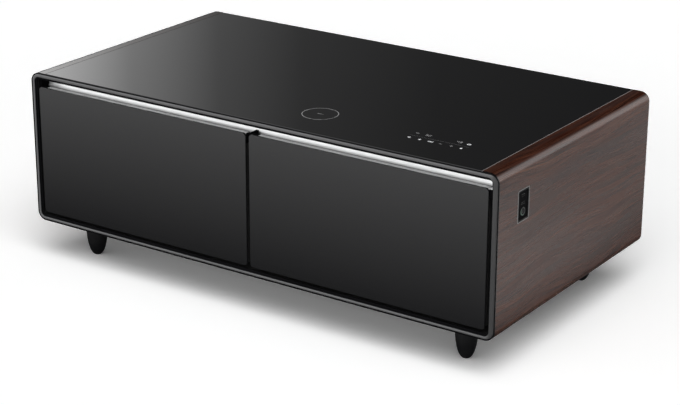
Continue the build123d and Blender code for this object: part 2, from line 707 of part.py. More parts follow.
for side, sx in SIDES:
    with BuildPart() as door_glass:
        with BuildSketch(at_depth(DOOR_RECESS)):
            door_span(sx, 0)
        extrude(amount=-DOOR_GLASS_T)
        chamfer(door_glass.faces().sort_by(Axis.Y)[0].edges(), DOOR_GLASS_EDGE)
    door_glass.part.label = f"{side}_door_glass"
    export_step(door_glass.part, f"parts/{side}_door_glass.step")

    with BuildPart() as door_core:
        with BuildSketch(at_depth(DOOR_GLASS_BACK)):
            door_span(sx, CORE_INSET)
        extrude(amount=-CORE_D)
        with BuildSketch(at_depth(CAP_BACK - CAP_T)):
            span(sx * DOOR_INNER_X, sx * DOOR_OUTER_X, SLOT_FLOOR_Z, DOOR_TOP_Z)
        extrude(amount=-CORE_D, mode=Mode.SUBTRACT)
    door_core.part.label = f"{side}_door_core"
    export_step(door_core.part, f"parts/{side}_door_core.step")

    with BuildPart() as pull_cap:
        with BuildSketch(at_depth(DOOR_GLASS_BACK)):
            door_span(sx, CAP_INSET)
            door_span(sx, CORE_INSET, mode=Mode.SUBTRACT)
            span(sx * DOOR_INNER_X, sx * DOOR_OUTER_X, CAP_LOW_Z, DOOR_TOP_Z, mode=Mode.INTERSECT)
        extrude(amount=-CAP_D)
        with BuildSketch(at_depth(CAP_BACK - CAP_T)):
            door_span(sx, CAP_INSET)
            span(sx * DOOR_INNER_X, sx * DOOR_OUTER_X, FLANGE_LOW_Z, DOOR_TOP_Z, mode=Mode.INTERSECT)
        extrude(amount=-CAP_T)
    pull_cap.part.label = f"{side}_pull_cap"
    export_step(pull_cap.part, f"parts/{side}_pull_cap.step")

    with BuildPart() as inner_panel:
        with BuildSketch(at_depth(CORE_BACK)):
            span(
                sx * (DOOR_INNER_X + PANEL_INSET / 2),
                sx * (DOOR_OUTER_X - PANEL_INSET),
                DOOR_BOTTOM_Z + PANEL_INSET / 2,
                SLOT_FLOOR_Z - PANEL_T,
                DOOR_R,
            )
        extrude(amount=-PANEL_T)
        with BuildSketch(at_depth(PANEL_BACK)):
            cavity_span(sx, -PLUG_GAP, CAVITY_R - PLUG_EDGE)
        extrude(amount=-PLUG_D)
        chamfer(inner_panel.faces().sort_by(Axis.Y)[-1].edges(), PLUG_EDGE)
    inner_panel.part.label = f"{side}_inner_panel"
    export_step(inner_panel.part, f"parts/{side}_inner_panel.step")

    with BuildPart() as gasket:
        with BuildSketch(at_depth(PANEL_BACK)):
            cavity_span(sx, LINER_T + SEAL_W, CAVITY_R + LINER_T + SEAL_W)
            cavity_span(sx, LINER_T, CAVITY_R + LINER_T, mode=Mode.SUBTRACT)
        extrude(amount=-SEAL_BASE_T)
        bulb_start = LINER_T + (SEAL_W - SEAL_BULB_W) / 2
        bulb_stop = bulb_start + SEAL_BULB_W
        with BuildSketch(at_depth(PANEL_BACK + SEAL_BASE_T)):
            cavity_span(sx, bulb_stop, CAVITY_R + bulb_stop)
            cavity_span(sx, bulb_start, CAVITY_R + bulb_start, mode=Mode.SUBTRACT)
        extrude(amount=SEAL_BASE_T + RUNNING_GAP - SEAL_D)
        chamfer(gasket.faces().sort_by(Axis.Y)[-1].edges(), SEAL_BASE_T / 2)
    gasket.part.label = f"{side}_gasket"
    export_step(gasket.part, f"parts/{side}_gasket.step")

    bin_inner_x = CAVITY_INNER_X + SLIDE_T
    bin_outer_x = CAVITY_OUTER_X - SLIDE_T
    bin_z = CAVITY_FLOOR_Z + BIN_FLOOR_GAP
    bin_front_y = FRONT + PLUG_BACK
    bin_back_y = FRONT + CAVITY_BACK - BIN_BACK_GAP
    bin_h = CAVITY_H - BIN_FLOOR_GAP - BIN_TOP_GAP
    with BuildPart() as drawer_bin:
        with BuildSketch(at_height(bin_z)):
            span(sx * bin_inner_x, sx * bin_outer_x, bin_front_y, bin_back_y, BIN_R)
        extrude(amount=bin_h)
        with BuildSketch(at_height(bin_z + bin_h - BIN_RIM_T)):
            span(
                sx * (bin_inner_x - BIN_RIM_W),
                sx * (bin_outer_x + BIN_RIM_W),
                bin_front_y,
                bin_back_y + BIN_RIM_W,
                BIN_R + BIN_RIM_W,
            )
        extrude(amount=BIN_RIM_T)
        with BuildSketch(at_height(bin_z + BIN_T)):
            span(
                sx * (bin_inner_x + BIN_T),
                sx * (bin_outer_x - BIN_T),
                bin_front_y + BIN_T,
                bin_back_y - BIN_T,
                BIN_R - BIN_T,
            )
        extrude(amount=bin_h, mode=Mode.SUBTRACT)
    drawer_bin.part.label = f"{side}_bin"
    export_step(drawer_bin.part, f"parts/{side}_bin.step")

# Side module: bezel, housing, two ports, button with its ring and switch
FACE_X = RIGHT - BEZEL_T
BUTTON_Z = MODULE_MID_Z - BUTTON_DROP
PORT_POINTS = ((MODULE_Y, MODULE_MID_Z + USB_UPPER_Z), (MODULE_Y, MODULE_MID_Z + USB_LOWER_Z))
HOUSING_BACK_X = FACE_X - HOUSING_D
BORE_R = BUTTON_R + RUNNING_GAP

with BuildPart() as module_bezel:
    with BuildSketch(at_side(FACE_X)):
        module_outline(BEZEL_W, BEZEL_H, BEZEL_R)
        module_outline(BEZEL_HOLE_W, BEZEL_HOLE_H, HOUSING_R, mode=Mode.SUBTRACT)
    extrude(amount=BEZEL_T)
    chamfer(module_bezel.faces().sort_by(Axis.X)[-1].inner_wires()[0].edges(), BEZEL_EDGE)
module_bezel.part.label = "module_bezel"
export_step(module_bezel.part, "parts/module_bezel.step")

with BuildPart() as module_housing:
    with BuildSketch(at_side(FACE_X)):
        module_outline(HOUSING_W, HOUSING_H, HOUSING_R)
    extrude(amount=-HOUSING_D)
    with BuildSketch(at_side(FACE_X - HOUSING_FACE_T)):
        module_outline(HOUSING_W - 2 * HOUSING_WALL, HOUSING_H - 2 * HOUSING_WALL, HOUSING_WALL)
    extrude(amount=HOUSING_FACE_T + HOUSING_WALL - HOUSING_D, mode=Mode.SUBTRACT)
    with BuildSketch(at_side(FACE_X)):
        with Locations(*PORT_POINTS):
            Rectangle(USB_W, USB_H)
        with Locations((MODULE_Y, BUTTON_Z)):
            Circle(BORE_R)
    extrude(amount=-HOUSING_FACE_T, mode=Mode.SUBTRACT)
module_housing.part.label = "module_housing"
export_step(module_housing.part, "parts/module_housing.step")

with BuildPart() as usb_ports:
    with BuildSketch(at_side(FACE_X)):
        with Locations(*PORT_POINTS):
            Rectangle(USB_W, USB_H)
    extrude(amount=-USB_D)
    with BuildSketch(at_side(FACE_X)):
        with Locations(*PORT_POINTS):
            Rectangle(USB_W - 2 * USB_SHEET, USB_H - 2 * USB_SHEET)
    extrude(amount=USB_SHEET - USB_D, mode=Mode.SUBTRACT)
    with BuildSketch(at_side(FACE_X - USB_TONGUE_BACK)):
        with Locations(*[(y, z + USB_TONGUE_RISE) for y, z in PORT_POINTS]):
            Rectangle(USB_TONGUE_W, USB_TONGUE_T)
    extrude(amount=USB_TONGUE_BACK - USB_D)
usb_ports.part.label = "usb_ports"
export_step(usb_ports.part, "parts/usb_ports.step")

with BuildPart() as button_ring:
    with BuildSketch(at_side(FACE_X)):
        with Locations((MODULE_Y, BUTTON_Z)):
            Circle(RING_R)
            Circle(BORE_R, mode=Mode.SUBTRACT)
    extrude(amount=RING_T)
button_ring.part.label = "button_ring"
export_step(button_ring.part, "parts/button_ring.step")

FLANGE_X = FACE_X - HOUSING_FACE_T - RUNNING_GAP
STEM_END_X = FLANGE_X - BUTTON_FLANGE_T - BUTTON_STEM_L
with BuildPart() as power_button:
    with BuildSketch(at_side(FACE_X + BUTTON_PROUD)):
        with Locations((MODULE_Y, BUTTON_Z)):
            Circle(BUTTON_R)
    extrude(amount=FLANGE_X - FACE_X - BUTTON_PROUD)
    with BuildSketch(at_side(FLANGE_X)):
        with Locations((MODULE_Y, BUTTON_Z)):
            Circle(BUTTON_FLANGE_R)
    extrude(amount=-BUTTON_FLANGE_T)
    with BuildSketch(at_side(FLANGE_X)):
        with Locations((MODULE_Y, BUTTON_Z)):
            Circle(BUTTON_STEM_R)
    extrude(amount=STEM_END_X - FLANGE_X)
    dish_x = FACE_X + BUTTON_PROUD - BUTTON_DISH_DEPTH + BUTTON_DISH_R
    with Locations((dish_x, MODULE_Y, BUTTON_Z)):
        Sphere(BUTTON_DISH_R, mode=Mode.SUBTRACT)
power_button.part.label = "power_button"
export_step(power_button.part, "parts/power_button.step")

SWITCH_FRONT_X = STEM_END_X - BUTTON_TRAVEL - RUNNING_GAP
with BuildPart() as button_switch:
    with BuildSketch(at_side(HOUSING_BACK_X + HOUSING_WALL)):
        with Locations((MODULE_Y, BUTTON_Z)):
            Rectangle(SWITCH_W, SWITCH_W)
    extrude(amount=SWITCH_FRONT_X - HOUSING_BACK_X - HOUSING_WALL)
button_switch.part.label = "button_switch"
export_step(button_switch.part, "parts/button_switch.step")

# Wireless-charging coil and touch board, against the underside of the glass
with BuildPart() as charging_coil:
    with BuildSketch(at_height(GLASS_UNDER_Z)):
        with Locations((COIL_X, COIL_Y)):
            Circle(COIL_R)
            Circle(COIL_HOLE_R, mode=Mode.SUBTRACT)
    extrude(amount=-COIL_T)
    with BuildSketch(at_height(GLASS_UNDER_Z - COIL_T)):
        with Locations((COIL_X, COIL_Y)):
            Rectangle(COIL_CUT_W - 2 * RUNNING_GAP, COIL_CUT_W - 2 * RUNNING_GAP)
    extrude(amount=-COIL_PLATE_T)
charging_coil.part.label = "charging_coil"
export_step(charging_coil.part, "parts/charging_coil.step")

with BuildPart() as touch_board:
    with BuildSketch(at_height(GLASS_UNDER_Z - PAD_T)):
        with Locations((TOUCH_X, TOUCH_Y)):
            Rectangle(TOUCH_W, TOUCH_D)
    extrude(amount=-TOUCH_T)
    with BuildSketch(at_height(GLASS_UNDER_Z - PAD_T)):
        with Locations((TOUCH_X, TOUCH_Y - PAD_SHIFT)):
            with GridLocations(PAD_PITCH, PAD_PITCH, PAD_COUNT, 1):
                Rectangle(PAD_W, PAD_W)
    extrude(amount=PAD_T)
touch_board.part.label = "touch_board"
export_step(touch_board.part, "parts/touch_board.step")

# Control board on its spacers, and the power supply with a finned cover
BOARD_X = INNER_X - BOARD_SIDE_GAP
BOARD_Y = FRONT + FOAM_BACK - BOARD_BACK_GAP
SUPPLY_X = BOARD_X - SUPPLY_SHIFT

with BuildPart() as control_board:
    board_point = (BOARD_X, BOARD_Y)
    with BuildSketch(at_height(FOAM_TOP_Z)):
        with Locations(board_point):
            with GridLocations(BOARD_W - 2 * SPACER_INSET, BOARD_D - 2 * SPACER_INSET, 2, 2):
                Rectangle(SPACER_W, SPACER_W)
    extrude(amount=SPACER_H)
    with BuildSketch(at_height(FOAM_TOP_Z + SPACER_H)):
        with Locations(board_point):
            Rectangle(BOARD_W, BOARD_D)
    extrude(amount=BOARD_T)
    with BuildSketch(at_height(FOAM_TOP_Z + SPACER_H + BOARD_T)):
        with Locations(board_point):
            with GridLocations(2 * CHIP_W, 2 * CHIP_W, 2, 1):
                Rectangle(CHIP_W, CHIP_W)
    extrude(amount=CHIP_T)
    with BuildSketch(at_height(FOAM_TOP_Z + SPACER_H + BOARD_T)):
        with Locations((BOARD_X, BOARD_Y + BOARD_D / 2 - CHIP_W)):
            with GridLocations(3 * CAPACITOR_R, CAPACITOR_R, CAPACITOR_COUNT, 1):
                Circle(CAPACITOR_R)
    extrude(amount=CAPACITOR_H)
control_board.part.label = "control_board"
export_step(control_board.part, "parts/control_board.step")

with BuildPart() as power_supply:
    with BuildSketch(at_height(FOAM_TOP_Z)):
        with Locations((SUPPLY_X, BOARD_Y)):
            Rectangle(SUPPLY_W, SUPPLY_D)
    extrude(amount=SUPPLY_H - SUPPLY_FIN_H)
    with BuildSketch(at_height(FOAM_TOP_Z + SUPPLY_H - SUPPLY_FIN_H)):
        with Locations((SUPPLY_X, BOARD_Y)):
            with GridLocations(SUPPLY_W / SUPPLY_FIN_COUNT, SUPPLY_D, SUPPLY_FIN_COUNT, 1):
                Rectangle(SUPPLY_FIN_T, SUPPLY_D)
    extrude(amount=SUPPLY_FIN_H)
power_supply.part.label = "power_supply"
export_step(power_supply.part, "parts/power_supply.step")

# Rear panel with two groups of vents, the battens that carry it, and its screws
INLET_MID_Z = BASE_Z + INLET_Z
INLET_X = INNER_X - INLET_SIDE_GAP
VENT_X = INNER_X - VENT_SIDE_GAP
SCREW_X = INNER_X - BATTEN_W / 2
SCREW_LOW_Z = INNER_BASE_Z + REAR_SCREW_END_GAP
SCREW_PITCH = (INNER_TOP_Z - REAR_SCREW_END_GAP - SCREW_LOW_Z) / (REAR_SCREW_ROWS - 1)
BACK_FACE_DEPTH = DEPTH - REAR_RECESS
SCREW_POINTS = [
    (sx * SCREW_X, SCREW_LOW_Z + SCREW_PITCH * row) for sx in (-1, 1) for row in range(REAR_SCREW_ROWS)
]

with BuildPart() as rear_panel:
    with BuildSketch(at_depth(BACK_PANEL_FRONT)):
        span(-INNER_X, INNER_X, INNER_BASE_Z, INNER_TOP_Z, INNER_R)
        for sx in (-1, 1):
            with Locations((sx * VENT_X, BASE_Z + VENT_Z)):
                with GridLocations(VENT_PITCH, VENT_PITCH, VENT_COUNT, 1):
                    Rectangle(VENT_W, VENT_H, mode=Mode.SUBTRACT)
        with Locations((INLET_X, INLET_MID_Z)):
            Rectangle(INLET_BODY_W, INLET_BODY_H, mode=Mode.SUBTRACT)
        with Locations(*SCREW_POINTS):
            Circle(REAR_SCREW_R, mode=Mode.SUBTRACT)
    extrude(amount=-SHEET_T)
rear_panel.part.label = "rear_panel"
export_step(rear_panel.part, "parts/rear_panel.step")

with BuildPart() as rear_battens:
    for sx in (-1, 1):
        with BuildSketch(at_height(INNER_BASE_Z + INNER_R)):
            batten_y = FRONT + BACK_PANEL_FRONT
            span(sx * (INNER_X - BATTEN_W), sx * INNER_X, batten_y - BATTEN_W, batten_y)
        extrude(amount=INNER_TOP_Z - INNER_BASE_Z - 2 * INNER_R)
    with BuildSketch(at_depth(BACK_PANEL_FRONT)):
        with Locations(*SCREW_POINTS):
            Circle(REAR_SCREW_R)
    extrude(amount=REAR_SCREW_L - SHEET_T, mode=Mode.SUBTRACT)
rear_battens.part.label = "rear_battens"
export_step(rear_battens.part, "parts/rear_battens.step")

with BuildPart() as rear_screws:
    with BuildSketch(at_depth(BACK_FACE_DEPTH)):
        with Locations(*SCREW_POINTS):
            RegularPolygon(REAR_SCREW_HEAD_R, NUT_SIDES)
    extrude(amount=-REAR_SCREW_HEAD_T)
    with BuildSketch(at_depth(BACK_FACE_DEPTH)):
        with Locations(*SCREW_POINTS):
            Circle(REAR_SCREW_R)
    extrude(amount=REAR_SCREW_L)
rear_screws.part.label = "rear_screws"
export_step(rear_screws.part, "parts/rear_screws.step")

# Mains inlet: a recessed socket with three flat pins, fitted from outside

with BuildPart() as mains_inlet:
    with BuildSketch(at_depth(BACK_FACE_DEPTH)):
        with Locations((INLET_X, INLET_MID_Z)):
            RectangleRounded(INLET_FLANGE_W, INLET_FLANGE_H, SHEET_T)
    extrude(amount=-INLET_FLANGE_T)
    with BuildSketch(at_depth(BACK_FACE_DEPTH)):
        with Locations((INLET_X, INLET_MID_Z)):
            Rectangle(INLET_BODY_W, INLET_BODY_H)
    extrude(amount=INLET_BODY_D)
    with BuildSketch(at_depth(BACK_FACE_DEPTH + INLET_FLANGE_T)) as inlet_sketch:
        with Locations((INLET_X, INLET_MID_Z)):
            Rectangle(INLET_BODY_W - 2 * INLET_WALL, INLET_BODY_H - 2 * INLET_WALL)
        chamfer(inlet_sketch.vertices().group_by(Axis.Z)[-1], INLET_CORNER)
    extrude(amount=INLET_CAVITY_D, mode=Mode.SUBTRACT)
    with BuildSketch(at_depth(BACK_FACE_DEPTH + INLET_FLANGE_T - INLET_CAVITY_D)):
        with Locations(
            (INLET_X - INLET_PIN_SPACING, INLET_MID_Z - INLET_PIN_RISE),
            (INLET_X + INLET_PIN_SPACING, INLET_MID_Z - INLET_PIN_RISE),
            (INLET_X, INLET_MID_Z + INLET_PIN_RISE),
        ):
            Rectangle(INLET_PIN_W, INLET_PIN_H)
    extrude(amount=-INLET_PIN_L)
mains_inlet.part.label = "mains_inlet"
export_step(mains_inlet.part, "parts/mains_inlet.step")

# Compressor: a welded steel shell on a plate with rubber grommets
COMPRESSOR_X = INNER_X - COMPRESSOR_SIDE_GAP
COMPRESSOR_POINT = (COMPRESSOR_X, ROOM_MID_Y)
PLATE_Z = INNER_BASE_Z + GROMMET_H - PLATE_T
SHELL_Z = PLATE_Z + PLATE_T
GROMMET_POINTS = [
    (
        COMPRESSOR_X + sx * (PLATE_W / 2 - GROMMET_INSET_X),
        ROOM_MID_Y + sy * (PLATE_D / 2 - GROMMET_INSET_Y),
    )
    for sx in (-1, 1)
    for sy in (-1, 1)
]

with BuildPart() as compressor_shell:
    with BuildSketch(at_height(SHELL_Z)):
        with Locations(COMPRESSOR_POINT):
            Circle(COMPRESSOR_R)
    extrude(amount=COMPRESSOR_H)
    chamfer(compressor_shell.faces().sort_by(Axis.Z)[0].edges(), COMPRESSOR_BEVEL)
    for height, width in (
        (COMPRESSOR_SHOULDER_H, COMPRESSOR_SHOULDER_W),
        (COMPRESSOR_CROWN_H, COMPRESSOR_CROWN_W),
    ):
        top_face = compressor_shell.faces().sort_by(Axis.Z)[-1]
        chamfer(top_face.edges(), length=width, length2=height, reference=top_face)
    with BuildSketch(at_height(SHELL_Z + COMPRESSOR_H * WELD_SHARE)):
        with Locations(COMPRESSOR_POINT):
            Circle(COMPRESSOR_R + WELD_R)
    extrude(amount=WELD_T)
    with BuildSketch(at_height(SHELL_Z + COMPRESSOR_WALL)):
        with Locations(COMPRESSOR_POINT):
            Circle(COMPRESSOR_R - COMPRESSOR_BEVEL - COMPRESSOR_WALL)
    extrude(amount=COMPRESSOR_CAVITY_SHARE * COMPRESSOR_H, mode=Mode.SUBTRACT)
compressor_shell.part.label = "compressor_shell"
export_step(compressor_shell.part, "parts/compressor_shell.step")

with BuildPart() as compressor_plate:
    with BuildSketch(at_height(PLATE_Z)):
        with Locations(COMPRESSOR_POINT):
            RectangleRounded(PLATE_W, PLATE_D, PLATE_R)
        with Locations(*GROMMET_POINTS):
            Circle(GROMMET_NECK_R, mode=Mode.SUBTRACT)
    extrude(amount=PLATE_T)
compressor_plate.part.label = "compressor_plate"
export_step(compressor_plate.part, "parts/compressor_plate.step")

with BuildPart() as compressor_grommets:
    with BuildSketch(at_height(INNER_BASE_Z)):
        with Locations(*GROMMET_POINTS):
            Circle(GROMMET_R)
    extrude(amount=GROMMET_H - PLATE_T)
    with BuildSketch(at_height(PLATE_Z)):
        with Locations(*GROMMET_POINTS):
            Circle(GROMMET_NECK_R)
    extrude(amount=PLATE_T + GROMMET_LIP_T)
compressor_grommets.part.label = "compressor_grommets"
export_step(compressor_grommets.part, "parts/compressor_grommets.step")

with BuildPart() as terminal_cover:
    with BuildSketch(at_height(SHELL_Z + TERMINAL_RISE)):
        with Locations((COMPRESSOR_X + COMPRESSOR_R + TERMINAL_D / 2, ROOM_MID_Y)):
            RectangleRounded(TERMINAL_D, TERMINAL_W, TERMINAL_R)
        with Locations(COMPRESSOR_POINT):
            Circle(COMPRESSOR_R + WELD_R, mode=Mode.SUBTRACT)
    extrude(amount=TERMINAL_H)
terminal_cover.part.label = "terminal_cover"
export_step(terminal_cover.part, "parts/terminal_cover.step")

# Drip tray over the compressor, where its warmth dries the water
TRAY_Z = SHELL_Z + COMPRESSOR_H
with BuildPart() as drip_tray:
    with BuildSketch(at_height(TRAY_Z)):
        with Locations(COMPRESSOR_POINT):
            RectangleRounded(TRAY_W, TRAY_D, TRAY_R)
    extrude(amount=TRAY_H)
    with BuildSketch(at_height(TRAY_Z + TRAY_H - TRAY_WALL)):
        with Locations(COMPRESSOR_POINT):
            RectangleRounded(TRAY_W + 2 * TRAY_RIM_W, TRAY_D + 2 * TRAY_RIM_W, TRAY_R + TRAY_RIM_W)
    extrude(amount=TRAY_WALL)
    with BuildSketch(at_height(TRAY_Z + TRAY_WALL)):
        with Locations(COMPRESSOR_POINT):
            RectangleRounded(TRAY_W - 2 * TRAY_WALL, TRAY_D - 2 * TRAY_WALL, TRAY_R - TRAY_WALL)
    extrude(amount=TRAY_H, mode=Mode.SUBTRACT)
drip_tray.part.label = "drip_tray"
export_step(drip_tray.part, "parts/drip_tray.step")

# Condenser: flat tubes between two headers, crossed by thin fins
CONDENSER_Z = INNER_BASE_Z
TUBE_PITCH = CONDENSER_H / (CONDENSER_TUBES + 1)
FIN_PITCH = CONDENSER_D / (CONDENSER_FINS + 1)
HEADER_POINTS = [(CONDENSER_X, ROOM_MID_Y + sy * CONDENSER_D / 2) for sy in (-1, 1)]

with BuildPart() as condenser:
    with BuildSketch(at_height(CONDENSER_Z)):
        with Locations(*HEADER_POINTS):
            Circle(HEADER_R)
    extrude(amount=CONDENSER_H)
    with BuildSketch(at_side(CONDENSER_X - CONDENSER_T / 2)):
        with Locations((ROOM_MID_Y, CONDENSER_Z + CONDENSER_H / 2)):
            with GridLocations(CONDENSER_D, TUBE_PITCH, 1, CONDENSER_TUBES):
                Rectangle(CONDENSER_D, CONDENSER_TUBE_H)
            with GridLocations(FIN_PITCH, CONDENSER_H, CONDENSER_FINS, 1):
                Rectangle(CONDENSER_FIN_T, CONDENSER_H)
    extrude(amount=CONDENSER_T)
condenser.part.label = "condenser"
export_step(condenser.part, "parts/condenser.step")

# Fan frame with its motor on three struts, and the duct plate that joins it to the condenser
FAN_Z = CONDENSER_Z + CONDENSER_H / 2
DUCT_X = CONDENSER_X + CONDENSER_T / 2
FAN_X = DUCT_X + SHROUD_GAP
FAN_BACK_X = FAN_X + FAN_D
MOTOR_X = FAN_BACK_X - MOTOR_D
HUB_X = MOTOR_X - RUNNING_GAP - FAN_HUB_D
FAN_BORE_R = FAN_FRAME / 2 - FAN_FRAME_WALL
FAN_TIP_R = FAN_BORE_R - FAN_TIP_GAP

with BuildPart() as fan_frame:
    with BuildSketch(at_side(DUCT_X)):
        with Locations((ROOM_MID_Y, FAN_Z)):
            Rectangle(CONDENSER_D - 2 * HEADER_R, CONDENSER_H)
            Circle(FAN_BORE_R, mode=Mode.SUBTRACT)
    extrude(amount=SHROUD_T)
    with BuildSketch(at_side(DUCT_X)):
        with Locations((ROOM_MID_Y, FAN_Z)):
            RectangleRounded(FAN_FRAME, FAN_FRAME, TERMINAL_R)
            Circle(FAN_BORE_R, mode=Mode.SUBTRACT)
    extrude(amount=SHROUD_GAP + FAN_D)
    with BuildSketch(at_side(FAN_BACK_X - SHROUD_T)):
        with Locations((ROOM_MID_Y, FAN_Z)):
            with PolarLocations((FAN_BORE_R + MOTOR_R) / 2, STRUT_COUNT):
                Rectangle(FAN_BORE_R - MOTOR_R + STRUT_W, STRUT_W)
    extrude(amount=SHROUD_T)
    with BuildSketch(at_side(MOTOR_X)):
        with Locations((ROOM_MID_Y, FAN_Z)):
            Circle(MOTOR_R)
    extrude(amount=MOTOR_D)
    with BuildSketch(at_side(MOTOR_X)):
        with Locations((ROOM_MID_Y, FAN_Z)):
            Circle(FAN_SHAFT_R + FAN_SHAFT_GAP)
    extrude(amount=MOTOR_D - SHROUD_T, mode=Mode.SUBTRACT)
fan_frame.part.label = "fan_frame"
export_step(fan_frame.part, "parts/fan_frame.step")

# Fan rotor: hub, pitched blades and shaft
with BuildPart() as condenser_fan:
    with BuildSketch(at_side(HUB_X)):
        with Locations((ROOM_MID_Y, FAN_Z)):
            Circle(FAN_HUB_R)
    extrude(amount=FAN_HUB_D)
    with BuildSketch(at_side(HUB_X)):
        with Locations((ROOM_MID_Y, FAN_Z)):
            Circle(FAN_SHAFT_R)
    extrude(amount=FAN_HUB_D + MOTOR_D - SHROUD_T)
    for blade in range(FAN_BLADES):
        turn = radians(360 * blade / FAN_BLADES)
        outward = (0, cos(turn), sin(turn))
        root = (
            HUB_X + FAN_HUB_D / 2,
            ROOM_MID_Y + (FAN_HUB_R - FAN_BLADE_T) * cos(turn),
            FAN_Z + (FAN_HUB_R - FAN_BLADE_T) * sin(turn),
        )
        with BuildSketch(Plane(origin=root, x_dir=(1, 0, 0), z_dir=outward)):
            Rectangle(FAN_BLADE_T, FAN_BLADE_CHORD, rotation=FAN_BLADE_PITCH)
        extrude(amount=FAN_TIP_R - FAN_HUB_R)
condenser_fan.part.label = "condenser_fan"
export_step(condenser_fan.part, "parts/condenser_fan.step")

# Refrigerant tubes with the filter dryer brazed into them: compressor to condenser,
# condenser to dryer, and insulation to compressor
DRYER_POINT = (CONDENSER_X - CONDENSER_T - DRYER_R, HEADER_POINTS[0][1])
DRYER_TOP_Z = INNER_BASE_Z + DRYER_L + 2 * DRYER_NECK_L
CONDENSER_TOP_Z = CONDENSER_Z + CONDENSER_H
TUBE_TOP_Z = CONDENSER_TOP_Z + TUBE_RISE
DISCHARGE_X = COMPRESSOR_X - COMPRESSOR_R
DISCHARGE_Z = SHELL_Z + COMPRESSOR_H / 3
FOAM_BACK_Y = FRONT + FOAM_BACK
SUCTION_END_Y = ROOM_MID_Y - COMPRESSOR_R
SUCTION_MID_Y = (FOAM_BACK_Y + SUCTION_END_Y) / 2
SUCTION_Z = SHELL_Z + COMPRESSOR_H / 2
TUBE_ROUTES = (
    (
        (DISCHARGE_X, ROOM_MID_Y, DISCHARGE_Z),
        (DISCHARGE_X - TUBE_RISE, ROOM_MID_Y, DISCHARGE_Z),
        (DISCHARGE_X - TUBE_RISE, ROOM_MID_Y, TUBE_TOP_Z),
        (CONDENSER_X, ROOM_MID_Y, TUBE_TOP_Z),
        (CONDENSER_X, HEADER_POINTS[1][1], TUBE_TOP_Z),
        (CONDENSER_X, HEADER_POINTS[1][1], CONDENSER_TOP_Z),
    ),
    (
        (CONDENSER_X, HEADER_POINTS[0][1], CONDENSER_TOP_Z),
        (CONDENSER_X, HEADER_POINTS[0][1], TUBE_TOP_Z),
        (*DRYER_POINT, TUBE_TOP_Z),
        (*DRYER_POINT, DRYER_TOP_Z),
    ),
    (
        (COMPRESSOR_X + SUCTION_SHIFT, FOAM_BACK_Y, SUCTION_Z + SUCTION_SHIFT),
        (COMPRESSOR_X + SUCTION_SHIFT, SUCTION_MID_Y, SUCTION_Z + SUCTION_SHIFT),
        (COMPRESSOR_X, SUCTION_MID_Y, SUCTION_Z),
        (COMPRESSOR_X, SUCTION_END_Y, SUCTION_Z),
    ),
)

with BuildPart() as refrigerant_tubes:
    for points in TUBE_ROUTES:
        with BuildLine() as tube_path:
            FilletPolyline(*points, radius=TUBE_BEND_R)
        with BuildSketch(Plane(origin=tube_path.line @ 0, z_dir=tube_path.line % 0)):
            RegularPolygon(TUBE_R, TUBE_SIDES)
        sweep(path=tube_path.line)
    with BuildSketch(at_height(INNER_BASE_Z + DRYER_NECK_L)):
        with Locations(DRYER_POINT):
            Circle(DRYER_R)
    extrude(amount=DRYER_L)
    with BuildSketch(at_height(INNER_BASE_Z)):
        with Locations(DRYER_POINT):
            RegularPolygon(TUBE_R, TUBE_SIDES)
    extrude(amount=DRYER_TOP_Z - INNER_BASE_Z)
refrigerant_tubes.part.label = "refrigerant_tubes"
export_step(refrigerant_tubes.part, "parts/refrigerant_tubes.step")
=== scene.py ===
from math import cos, pi, radians, sin, sqrt

import bmesh
import bpy
from mathutils import Matrix, Vector


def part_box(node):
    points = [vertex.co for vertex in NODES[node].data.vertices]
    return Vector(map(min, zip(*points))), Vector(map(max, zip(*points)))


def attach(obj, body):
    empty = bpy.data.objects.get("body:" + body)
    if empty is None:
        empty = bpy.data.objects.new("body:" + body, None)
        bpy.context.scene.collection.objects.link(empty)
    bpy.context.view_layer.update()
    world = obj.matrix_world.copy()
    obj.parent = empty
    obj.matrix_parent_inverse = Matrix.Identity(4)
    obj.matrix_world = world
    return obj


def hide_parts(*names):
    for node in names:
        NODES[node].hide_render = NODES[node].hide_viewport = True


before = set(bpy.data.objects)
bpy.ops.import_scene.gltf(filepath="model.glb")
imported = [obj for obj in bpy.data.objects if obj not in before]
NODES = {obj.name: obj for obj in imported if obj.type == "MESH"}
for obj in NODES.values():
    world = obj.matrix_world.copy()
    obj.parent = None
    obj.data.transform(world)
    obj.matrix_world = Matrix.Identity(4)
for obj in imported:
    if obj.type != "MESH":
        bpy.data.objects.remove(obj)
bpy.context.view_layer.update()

# Sizes, in metres. X runs along the front, Y to the back and Z up.

MM = 0.001

# The camera

LENS = 103.29
SENSOR_W = 36.0
VIEW_AZIMUTH = radians(34.30)
VIEW_HEIGHT = radians(20.48)
VIEW_ROLL = radians(0.23)
VIEW_DISTANCE = 4.73206
VIEW_TARGET = Vector((0.01422, 0.0, 0.17124))

# The glass top and the marks on it

GLASS_LOW, GLASS_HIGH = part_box("glass_top")
GROUND_EDGE = (1.3 * MM, 1.1 * MM)
GROUND_EDGE_DROP = 1.0 * MM
PRINT_GAP = 0.03 * MM
PRINT_Z = GLASS_HIGH.z + PRINT_GAP
PRINT_LINE = 1.1 * MM
COIL_LOW, COIL_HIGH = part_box("charging_coil")
COIL_X, COIL_Y, COIL_Z = (COIL_LOW + COIL_HIGH) / 2
COIL_WOUND_R = (40.4 * MM, 40.6 * MM)
COIL_TURN_PITCH = 1.6 * MM
RING_R = 41.6 * MM
RING_STEPS = 128
BOLT_PARTS = (
    ((-0.6, 0.6), (1.2, 5.6), (2.6, 5.6), (0.9, 1.2)),
    ((-2.4, -0.2), (-0.4, 0.9), (2.4, 0.9), (0.4, -0.2)),
    ((0.6, 0.2), (-1.2, -5.4), (-2.4, -5.4), (-0.9, -0.2)),
)
BOLT_LONG = 1.35
